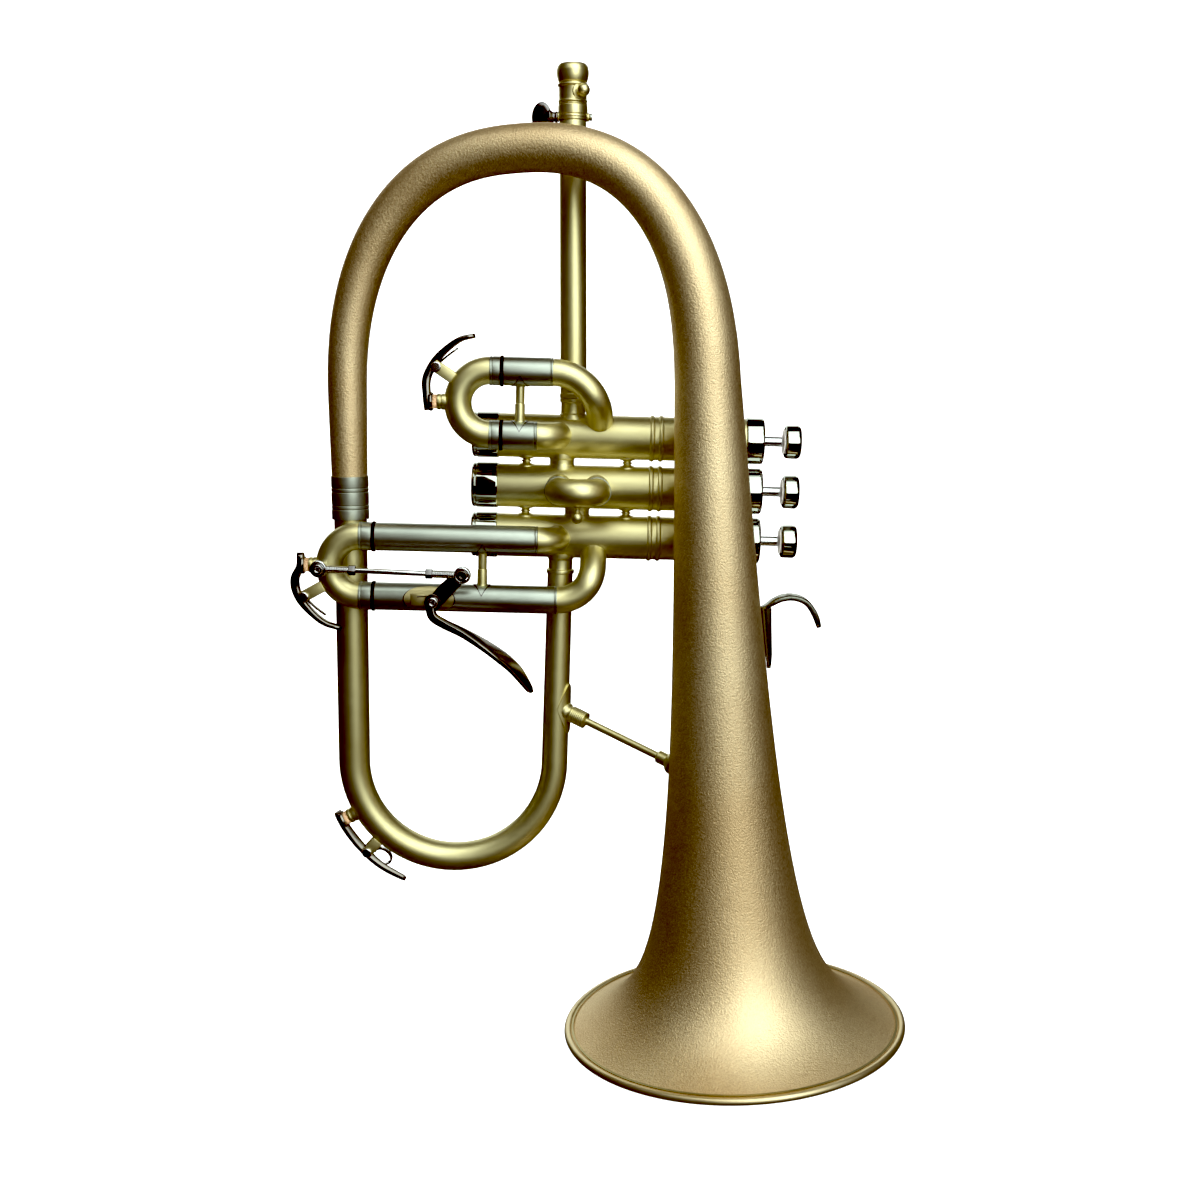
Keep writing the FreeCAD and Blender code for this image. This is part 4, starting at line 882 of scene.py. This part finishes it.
def elbow_path(start, height, port, entry):
    """Centre line from a sleeve end round into a casing; entry is the casing's height."""
    if abs(entry - height) < 8:
        corners = [(start, SLIDE_DEPTH, height), (port, SLIDE_DEPTH, height), (port, -4, height)]
        return rounded_path(corners, port - start, 5.0)
    side = copysign(1.0, entry - height)
    bend = port - start
    arc_end = height + side * bend
    path = rounded_path(at_depth([(start, height), (port, height), (port, arc_end)], SLIDE_DEPTH), bend, 4.0)
    extra = (entry - side * ELBOW_ENTRY - arc_end) * side
    for share in (0.34, 0.67, 1.0):
        if extra > 0.5:
            path.append(Vector((port, SLIDE_DEPTH, arc_end + side * extra * share)))
    level = [point.copy() for point in path]
    level.append(level[-1])
    left_over = 0.0
    for index in range(len(path) - 1, -1, -1):
        left_over += (level[index + 1] - level[index]).length
        if left_over < ELBOW_TURN:
            path[index].y += ELBOW_RISE * (1 - left_over / ELBOW_TURN) ** 2
    path.append(path[-1] + (path[-1] - path[-2]).normalized() * 2.5)
    return path


def make_elbows():
    """Elbows that run from the sleeves into the casings."""
    for slide, number, ports in ((FIRST, 1, (("lower", -9.1), ("upper", 9.0))),
                                 (THIRD, 3, (("upper", -8.9), ("lower", 7.6)))):
        shapes = []
        for row, port in ports:
            path = elbow_path(slide[row + "_end"], slide[row], port, valve_centre(number).z)
            shapes.append(kept_clear(bent_tube(path, 5.9, 0.7, 56), (number,), "Y"))
        piece(f"{slide['name']}_elbows", shapes, BRASS, f"{slide['name']}_slide_elbows")


def make_second_slide():
    """Small crook that faces the player's right, on two short sleeves."""
    half, start = 8.3, -24.6
    foot = start - half
    sleeves = [sleeve(6.1, 5.7, 15.0, (side, -7.0, 0), -Y) for side in (-half, half)]
    piece("second_sleeves", sleeves, BRASS, "second_slide_sleeves")
    legs = [sleeve(5.65, 5.2, 14.0, (side, start, 0), Y) for side in (-half, half)]
    legs += [sleeve(6.3, 5.66, 2.2, (side, -22.4, 0), -Y) for side in (-half, half)]
    piece("second_legs", legs, NICKEL, "second_slide_legs", body="second_slide")
    corners = [(-half, start, 0), (-half, foot, 0), (half, foot, 0), (half, start, 0)]
    crook = bent_tube(rounded_path(corners, half, 5.0), CROOK_RADIUS, 0.7, 56)
    outline = [(0, 0), (0, 2.2), (0.6, 2.0), (1.2, 1.2), (2.2, 1.1), (2.6, 1.6), (3.0, 1.1), (3.2, 0)]
    shapes = [crook, turned(outline, (0, foot, -5.6), -Z, 0.1, 32), ball(2.6, (0, foot, -10.6))]
    piece("second_crook", shapes, BRASS, "second_slide_crook", body="second_slide")


def make_slide_posts():
    """Round stays between the sleeves, the thin pointed feet they are soldered on, and a slightly larger dark
    sheet under each foot that is painted shade round the foot's edge.
    """
    posts, feet, painted_shade_rims = [], [], []
    for slide, place in ((FIRST, -26.0), (THIRD, -41.4)):
        span = slide["upper"] - slide["lower"] - 2 * SLEEVE_RADIUS
        base = Vector((place, SLIDE_DEPTH, slide["lower"] + SLEEVE_RADIUS))
        middle = span / 2
        outline = [(-0.6, 0), (-0.6, 2.5), (0.4, 2.25), (middle - 0.1, 2.15), (middle, 1.85),
                   (middle + 0.3, 1.85), (middle + 0.4, 1.95), (span - 0.4, 1.95), (span + 0.6, 2.4),
                   (span + 0.6, 0)]
        posts.append(turned(outline, base, Z, 0.12, 48))
        for height, towards in ((slide["upper"], -Z), (slide["lower"], Z)):
            matrix = facing((place, SLIDE_DEPTH, height), X, towards)
            feet.append(patch(6.2, 0.28, 68, lambda share: 3.6 * (1 - share) + 0.1, matrix))
            # painted shade: a slightly larger dark sheet under each foot shows as a dark rim round its edge
            painted_shade_rims.append(patch(6.2, 0.12, 74, lambda share: 4.1 * (1 - share) + 0.1, matrix))
    piece("slide_posts", posts, BRASS, "slide_braces")
    piece("slide_post_feet", feet, NICKEL)
    piece("slide_post_painted_shade", painted_shade_rims, DARK)


# water keys

NIPPLE_REACH = 2.9
CORK_THICK = 2.2
MAIN_KEY_ROLL = 36.0


def key_saddle(name, carrier, seat, along, centre, hinge, skin):
    """Nipple on the crook, the two ears of the hinge, and the hinge screw."""
    outline = [(-2.0, 0), (-2.0, 3.6), (0.9, 3.5), (1.1, 3.2), (1.5, 3.2), (1.7, 3.5), (NIPPLE_REACH, 3.4),
               (NIPPLE_REACH, 1.5), (1.0, 1.4), (1.0, 0)]
    shapes = [turned(outline, seat, along, 0.12, 40)]
    outward = (hinge - centre).normalized()
    inner = skin - 1.2
    length = (hinge - centre).length + 1.5 - inner
    for side in (-1, 1):
        middle = centre + outward * (inner + length / 2) + Y * (side * 3.1)
        shapes.append(slab(length, 1.3, 4.9, based(outward, Y, outward.cross(Y), middle), 0.25))
    piece(f"{name}_saddle_block", shapes, PALE_GOLD, f"{name}_saddle", body=carrier)
    outline = [(0, 0), (0, 1.8), (0.2, 2.2), (0.9, 2.25), (0.9, 0.8), (7.6, 0.8), (7.6, 1.2), (8.2, 1.2),
               (8.2, 0)]
    piece(f"{name}_pin", [turned(outline, hinge - Y * 4.7, Y, 0.1, 28)], STEEL, body=carrier)


def key_cork(name, cork_start, along):
    """Cork pad."""
    outline = [(0, 0), (0, 2.8), (0.3, 3.1), (CORK_THICK, 3.1), (CORK_THICK, 0)]
    pad = turned(outline, cork_start, along, 0.2, 40)
    piece(f"{name}_cork_pad", [pad], CORK, f"{name}_cork", body=name)


def make_water_key(name, carrier, crook_centre, skin, nipple_angle, pivot, lever, roll, tips_first, plating,
                   leaf=()):
    """One water key: saddle and screw on its carrier, and the lever with its cork."""
    depth = 0.0 if carrier == "root" else SLIDE_DEPTH
    centre, hinge = (Vector((px, depth, pz)) for px, pz in (crook_centre, pivot))
    angle = radians(nipple_angle)
    along = Vector((cos(angle), 0, sin(angle)))
    seat = centre + along * skin
    key_saddle(name, carrier, seat, along, centre, hinge, skin)

    widths = [4.6, 5.0, 4.6, 4.2, 4.2, 4.8, 5.2]
    thicks = [2.0, 2.5, 3.0, 3.7, 3.9, 3.6, 3.2]
    if not tips_first:
        widths, thicks = widths[::-1], thicks[::-1]
    strip = blade(at_depth(lever, depth), widths, thicks, (True, True), 0.5, roll)
    hub = turned([(0, 0.85), (0, 2.3), (4.6, 2.3), (4.6, 0.85)], hinge - Y * 2.3, Y, 0.25, 36, True)
    cork_start = seat + along * (NIPPLE_REACH + 0.02)
    outline = [(-0.3, 3.15), (-0.3, 3.8), (0.6, 4.2), (1.7, 3.7), (2.4, 0), (0.02, 0), (0.02, 3.15)]
    cup = turned(outline, cork_start + along * CORK_THICK, along, 0.15, 40)
    shapes = [strip, hub, cup]
    if leaf:
        shapes.append(blade(at_depth(leaf, depth), [3.0, 3.0], [0.9, 0.8], (False, True), 0.5))
    piece(f"{name}_lever_plated", shapes, plating, f"{name}_lever", body=name)
    key_cork(name, cork_start, along)


def make_slide_keys():
    """The water keys of the first and third slides, each with a leaf spring."""
    first = [(-45.8, 65.8), (-53.2, 63.5), (-61.6, 56.3), (-66.5, 47.5), (-66.6, 40.0), (-66.0, 33.2)]
    third = [(-121.8, -30.6), (-121.8, -36.6), (-124.2, -42.0), (-123.6, -48.0), (-119.8, -54.4),
             (-112.0, -61.4), (-103.6, -64.3)]
    first_leaf = [(-61.6, 53.4), (-57.6, 56.9), (-53.2, 60.2)]
    third_leaf = [(-119.0, -51.5), (-115.0, -55.2), (-110.6, -58.4)]
    for slide, pivot, lever, leaf in ((FIRST, (-62.3, 52.0), first, first_leaf),
                                      (THIRD, (-119.8, -49.9), third, third_leaf)):
        centre = (slide["bend_centre"], (slide["upper"] + slide["lower"]) / 2)
        skin = (slide["upper"] - slide["lower"]) / 2 + CROOK_RADIUS
        name = slide["name"]
        make_water_key(f"{name}_key", f"{name}_slide", centre, skin, 180.0, pivot, lever, 0.0, slide is FIRST,
                       LEVER, leaf)


def make_main_key():
    """The lower crook's water key, and its round spring on a mesh of its own."""
    lever = [(-108.5, -154.0), (-104.3, -161.9), (-96.8, -171.6), (-88.0, -179.8), (-76.5, -186.2)]
    centre = (CROOK_CENTRE.x, CROOK_CENTRE.z)
    make_water_key("main_key", "root", centre, CROOK_BEND + 7.05, 209.9, (-94.2, -172.6), lever,
                   MAIN_KEY_ROLL, False, WORN_PLATE)
    along, across = Vector((0.78, 0, -0.63)), Vector((0.63, 0, 0.78))
    middle = Vector((-87.2, 0, -175.0))
    loop = []
    for step in range(13):
        angle = radians(195 - 235 * step / 12)
        loop.append(middle + along * (4.3 * cos(angle)) + across * (3.1 * sin(angle)))
    band = blade(loop, [3.2, 3.2, 3.2], [0.9, 1.2, 0.9], (False, False), 0.4)
    spring = piece("main_key_spring", [band], STEEL)
    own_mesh(spring)


# trigger

PIVOT = Vector((-62.25, -26.4, -49.9))
LEVER_BALL = Vector((-49.25, -30.0, -37.2))
SLIDE_BALL = Vector((-111.6, -30.0, -35.9))
FINGER_ROLL = -16.0
BALL_HEAD = [(5.0, 2.3), (5.4, 2.0), (5.4, 1.1), (4.9, 1.0), (4.9, 0)]


def make_bracket():
    """Trigger bracket on the third slide's lower sleeve, with a fine dark edge that is painted shade from a
    slightly larger dark sheet beneath the plate, and the pivot screw.
    """
    low = THIRD["lower"]
    front = facing((-64.3, SLIDE_DEPTH, low), X, -Y)
    foot = patch(6.2, 0.8, 54, lambda share: 11.0 * sqrt(max(0.0, 1 - share ** 2)), front, 24, 18)
    outline = [(0, 0), (0, 4.4), (0.8, 3.6), (1.6, 3.1), (3.2, 3.0), (3.2, 0)]
    post = turned(outline, (PIVOT.x, -21.8, PIVOT.z), -Y)
    block = slab(7.0, 2.6, 5.6, Matrix.Translation((-69.0, -22.8, low - 0.3)), 0.4)
    piece("bracket_cast", [foot, post, block], AGED_BRASS, "trigger_bracket")
    # painted shade: a slightly larger dark sheet beneath the bracket plate shows as a dark edge round it
    painted_shade_rim = patch(6.2, 0.2, 58, lambda share: 11.6 * sqrt(max(0.0, 1 - share ** 2)), front, 24, 18)
    piece("bracket_painted_shade", [painted_shade_rim], DARK)
    outline = [(0, 0), (0, 1.3), (4.6, 1.3), (4.6, 2.35), (6.0, 2.35), (6.3, 2.0), (6.3, 1.1), (5.5, 1.0),
               (5.5, 0)]
    screw = turned(outline, (PIVOT.x, -23.4, PIVOT.z), -Y, 0.12, 40)
    piece("pivot_screw", [screw], STEEL, "trigger_pivot")


def make_trigger_coil():
    """Return spring wound round the pivot, with one straight leg."""
    radius = 2.75
    coil = helix(Vector((PIVOT.x, -24.3, PIVOT.z)), 3, 28, 0.42, (X * radius, Z * radius), -Y, 2.2)
    leg = [coil[0] + Vector((-5.6, 0.3, -0.4)), coil[0] + Vector((-2.8, 0.2, -0.2))]
    piece("trigger_coil", [bent_rod(leg + coil, 0.35, 10)], STEEL)


def make_finger():
    """Trigger lever: the short arm with its ball, the hub, and the long finger plate."""
    depth = PIVOT.y
    arm = blade(at_depth([(LEVER_BALL.x + 1.2, LEVER_BALL.z + 1.2), (-51.6, -39.4), (-57.2, -45.0),
                          (-62.6, -51.6)], depth), [2.4] * 3, [4.6, 6.6, 7.0, 6.4], (False, False), 0.4)
    line = [(-63.6, 0.0, -50.6), (-62.2, -0.3, -56.2), (-57.0, -1.0, -59.4), (-48.0, -2.2, -63.3),
            (-36.4, -3.2, -69.9), (-26.0, -3.4, -78.0), (-17.9, -3.4, -88.6)]
    finger = blade([(px, depth + py, pz) for px, py, pz in line], [2.8, 3.6, 5.0, 8.0, 10.6, 10.2, 6.0],
                   [4.2, 3.8, 3.2, 2.8, 2.4, 2.0, 1.4], (False, True), 0.4, FINGER_ROLL)
    outline = [(0, 1.36), (0, 3.7), (2.4, 3.7), (2.4, 1.36)]
    hub = turned(outline, (PIVOT.x, depth + 1.2, PIVOT.z), -Y, 0.3, 44, True)
    root = (LEVER_BALL.x, depth - 0.8, LEVER_BALL.z)
    stud = drum(1.2, 4.4, root, -Y, 0.1, 28)
    head = turned([(4.4, 0), (4.4, 2.2)] + BALL_HEAD, root, -Y, 0.1, 28)
    piece("trigger_finger_plate", [arm, finger, hub, stud, head], LEVER, "trigger_lever", body="trigger")


def make_link_rod():
    """Rod between the two balls: an eye, a threaded shank and a nut at each end."""
    along = (LEVER_BALL - SLIDE_BALL).normalized()
    reach = (LEVER_BALL - SLIDE_BALL).length
    shank = [(3.2, 0), (3.2, 1.4)] + ridged(3.8, 12.6, 0.75, 1.75, 1.55) + [(13.0, 1.6), (13.0, 0)]
    shapes, nuts = [drum(1.2, reach - 14, SLIDE_BALL + along * 7, along, 0.1, 24)], []
    for centre, inward, hole in ((SLIDE_BALL, along, 1.35), (LEVER_BALL, -along, 2.6)):
        eye = mirrored([(-1.5, hole), (-1.5, 3.3), (-1.1, 3.75)], 0)
        shapes.append(turned(eye, centre, Y, 0.2, 40, True))
        shapes.append(turned(shank, centre, inward, 0.12, 28))
        nuts.append(drum(2.35, 3.0, centre + inward * 13.0, inward, 0.25, 6))
    piece("link_rod_assembly", shapes, STEEL, "trigger_rod", body="link_rod")
    piece("link_rod_nuts", nuts, DARK, body="link_rod")


def make_rod_stud():
    """Stud on the third slide that carries the rod's other ball."""
    outline = [(0, 0), (0, 2.7), (6.6, 2.6), (7.4, 2.2), (7.8, 1.2), (11.8, 1.2), (11.8, 2.2)]
    outline += [(along + 7.4, radius) for along, radius in BALL_HEAD]
    stud = turned(outline, (SLIDE_BALL.x, -20.6, SLIDE_BALL.z), -Y, 0.12, 32)
    piece("slide_ball_stud", [stud], STEEL, "rod_stud", body="third_slide")


# braces and hook

def make_bell_brace():
    """Stay from the outlet tube to the bell: pointed foot, knurled socket, rod and end collar."""
    foot = Vector((-72.7, DEPTH, 142.0))
    line = Vector((0, 0, 110.0)) - foot
    end = line.length - 27.6
    plate = patch(5.95, 0.7, 58, lambda share: 11.5 * (1 - share ** 1.6),
                  facing(foot, VALVES.to_3x3() @ Z, line), 24, 18)
    outline = [(5.0, 0), (5.0, 4.4), (6.4, 4.1), (7.4, 3.4), (8.2, 3.3), (8.6, 3.85)]
    outline += ridged(9.0, 15.4, 0.9, 3.85, 3.6)
    outline += [(15.8, 3.6), (16.2, 2.4), (16.6, 1.7), (end - 6.6, 1.7), (end - 6.2, 2.5), (end - 5.8, 2.9),
                (end - 1.8, 2.9), (end - 1.2, 3.2), (end - 0.2, 4.4), (end + 1.4, 5.2), (end + 1.4, 0)]
    piece("bell_stay", [plate, turned(outline, foot, line, 0.1, 48)], BRASS, "bell_brace", place=ROW)


def make_valve_stays():
    """Short stays between the casings and the bell, each with a bead at its middle."""
    shapes = []
    for number in (1, 3):
        casing = VALVES @ valve_centre(number, 62.0)
        towards = Vector((0, 0, casing.z)) - casing
        near, far = 9.4, towards.length - bell_radius(casing.z) + 0.6
        middle = (near + far) / 2
        outline = [(near, 0), (near, 4.6), (near + 0.8, 3.8), (near + 1.6, 2.5), (middle - 0.5, 2.3),
                   (middle - 0.3, 2.8)]
        shapes.append(turned(mirrored(outline, near + far), casing, towards, 0.15, 40))
    piece("bell_valve_stays", shapes, BRASS, "valve_stays", place=ROW)


def make_hook():
    """Finger hook: a tapering foot on the bell and a rounded strip that curls over the finger."""
    line = [(18.4, 189.6), (20.8, 190.0), (23.6, 191.5), (26.0, 192.7), (28.6, 193.5), (32.3, 193.7),
            (36.2, 192.6), (39.1, 190.5), (41.3, 187.3), (42.8, 183.8), (43.9, 179.6)]
    curl = blade(at_depth(line, 0), [6.4, 7.4, 8.2, 8.4, 8.4, 8.4, 8.4, 8.2, 8.0, 7.6, 7.0],
                 [1.2, 1.8, 2.4, 2.6, 2.7, 2.7, 2.7, 2.6, 2.6, 2.4, 1.9], (True, True), 0.5)
    line = [(21.2, 189.6), (21.3, 182.0), (21.5, 174.4), (21.7, 167.1), (21.5, 162.9)]
    foot = blade(at_depth(line, 0), [8.0, 7.4, 6.4, 5.2, 4.2], [4.6, 4.0, 3.5, 2.9, 1.6], (False, True), 0.5)
    piece("finger_hook_cast", [curl, foot], CAST_NICKEL, "finger_hook", place=ROW)


# stage, light and camera

def finish_inner_pieces():
    """Metal for the pistons, which stay as the CAD made them, inside the casings."""
    for number in (1, 2, 3):
        mesh = bpy.data.objects[f"piston_{number}"].data
        mesh.materials.clear()
        mesh.materials.append(NICKEL)


def make_stage():
    """Pale floor that curves up into a wall all round the horn."""
    reach, bend, top = 3.0, 1.0, 4.5
    outline = [(0.0, 0.0), (0.0, reach)]
    for step in range(1, 13):
        angle = pi / 2 * step / 12
        outline.append((bend - bend * cos(angle), reach + bend * sin(angle)))
    outline.append((top, reach + bend))
    points, faces = spun(outline, 96)
    mesh = bpy.data.meshes.new("pale_floor")
    mesh.from_pydata(points, [], faces)
    mesh.shade_smooth()
    material = bpy.data.materials.new("pale_floor")
    Nodes(material).set(Base_Color=(0.92, 0.92, 0.92, 1), Roughness=0.9, Emission_Color=(1, 1, 1, 1),
                        Emission_Strength=0.8)
    material.cycles.emission_sampling = "NONE"
    mesh.materials.append(material)
    floor = placed("pale_floor", mesh)
    floor.visible_glossy = False


HORN_MIDDLE = Vector((-0.06, 0.0, 0.22))


def soft_box(name, radiance, size, azimuth, elevation, distance, colour):
    """Soft box around the middle of the horn: azimuth in degrees right of the front, sizes in metres."""
    turn = Matrix.Rotation(radians(azimuth), 3, "Z") @ Matrix.Rotation(radians(-elevation), 3, "X")
    direction = turn @ -Y
    data = bpy.data.lights.new(name, "AREA")
    data.shape = "RECTANGLE"
    data.size, data.size_y = size
    data.energy = radiance * pi * size[0] * size[1]
    data.color = colour
    light = placed(name, data)
    light.location = HORN_MIDDLE + direction * distance
    light.rotation_mode = "QUATERNION"
    light.rotation_quaternion = (-direction).to_track_quat("-Z", "Y")
    light.visible_camera = False


def make_room():
    """Dim room: the light from every height of the surroundings."""
    world = bpy.data.worlds.new("studio")
    bpy.context.scene.world = world
    nodes = Nodes(world, "Background")
    place = nodes.add("ShaderNodeTexCoord").outputs["Generated"]
    height = nodes.add("ShaderNodeSeparateXYZ", {"Vector": place}).outputs["Z"]
    share = nodes.add("ShaderNodeMapRange", {"Value": height}, From_Min=-1.0).outputs["Result"]
    levels = [(0.0, 0.034), (0.22, 0.030), (0.30, 0.010), (0.44, 0.008), (0.52, 0.026), (0.75, 0.028),
              (1.0, 0.026)]
    nodes.link(nodes.ramp(share, [(position, (level,) * 3) for position, level in levels]), "Color")
    nodes.set(Strength=1.0)


def make_light():
    """A tall soft box in front and to the right, a second one above it, and a weaker one behind."""
    daylight = (0.94, 1.0, 0.92)
    soft_box("front_box", 3.0, (1.36, 1.86), 24, 26, 1.6, daylight)
    soft_box("top_box", 2.3, (1.7, 0.75), 14, 66, 1.5, daylight)
    soft_box("back_box", 1.25, (1.9, 1.1), 186, 22, 1.6, daylight)


def make_camera():
    """Camera a little above the middle of the horn, tilted down and rolled slightly."""
    data = bpy.data.cameras.new("camera")
    data.sensor_width = 36.0
    data.lens = 45.33
    data.clip_start, data.clip_end = 0.01, 20.0
    camera = placed("camera", data)
    pitch, roll = radians(90 - 9.10), radians(-2.97)
    camera.matrix_world = (Matrix.Translation((-0.0501, -0.6425, 0.2996)) @ Matrix.Rotation(pitch, 4, "X")
                           @ Matrix.Rotation(roll, 4, "Z"))
    bpy.context.scene.camera = camera
    view = bpy.context.scene.view_settings
    view.view_transform = "Standard"
    view.use_curve_mapping = True
    view.curve_mapping.black_level = (0.014, 0.034, 0.042)


make_bell()
make_rim()
make_ferrule()
make_main_crook()
make_clamp()
make_receiver()
make_caps()
make_links()
make_casing_posts()
for number in (1, 2, 3):
    make_casing(number)
    make_piston_group(number)
    make_valve_spring(number)
make_slide(FIRST)
make_slide(THIRD)
make_elbows()
make_second_slide()
make_slide_posts()
make_slide_keys()
make_main_key()
make_bracket()
make_trigger_coil()
make_finger()
make_link_rod()
make_rod_stud()
make_bell_brace()
make_valve_stays()
make_hook()
finish_inner_pieces()
make_stage()
make_light()
make_room()
make_camera()
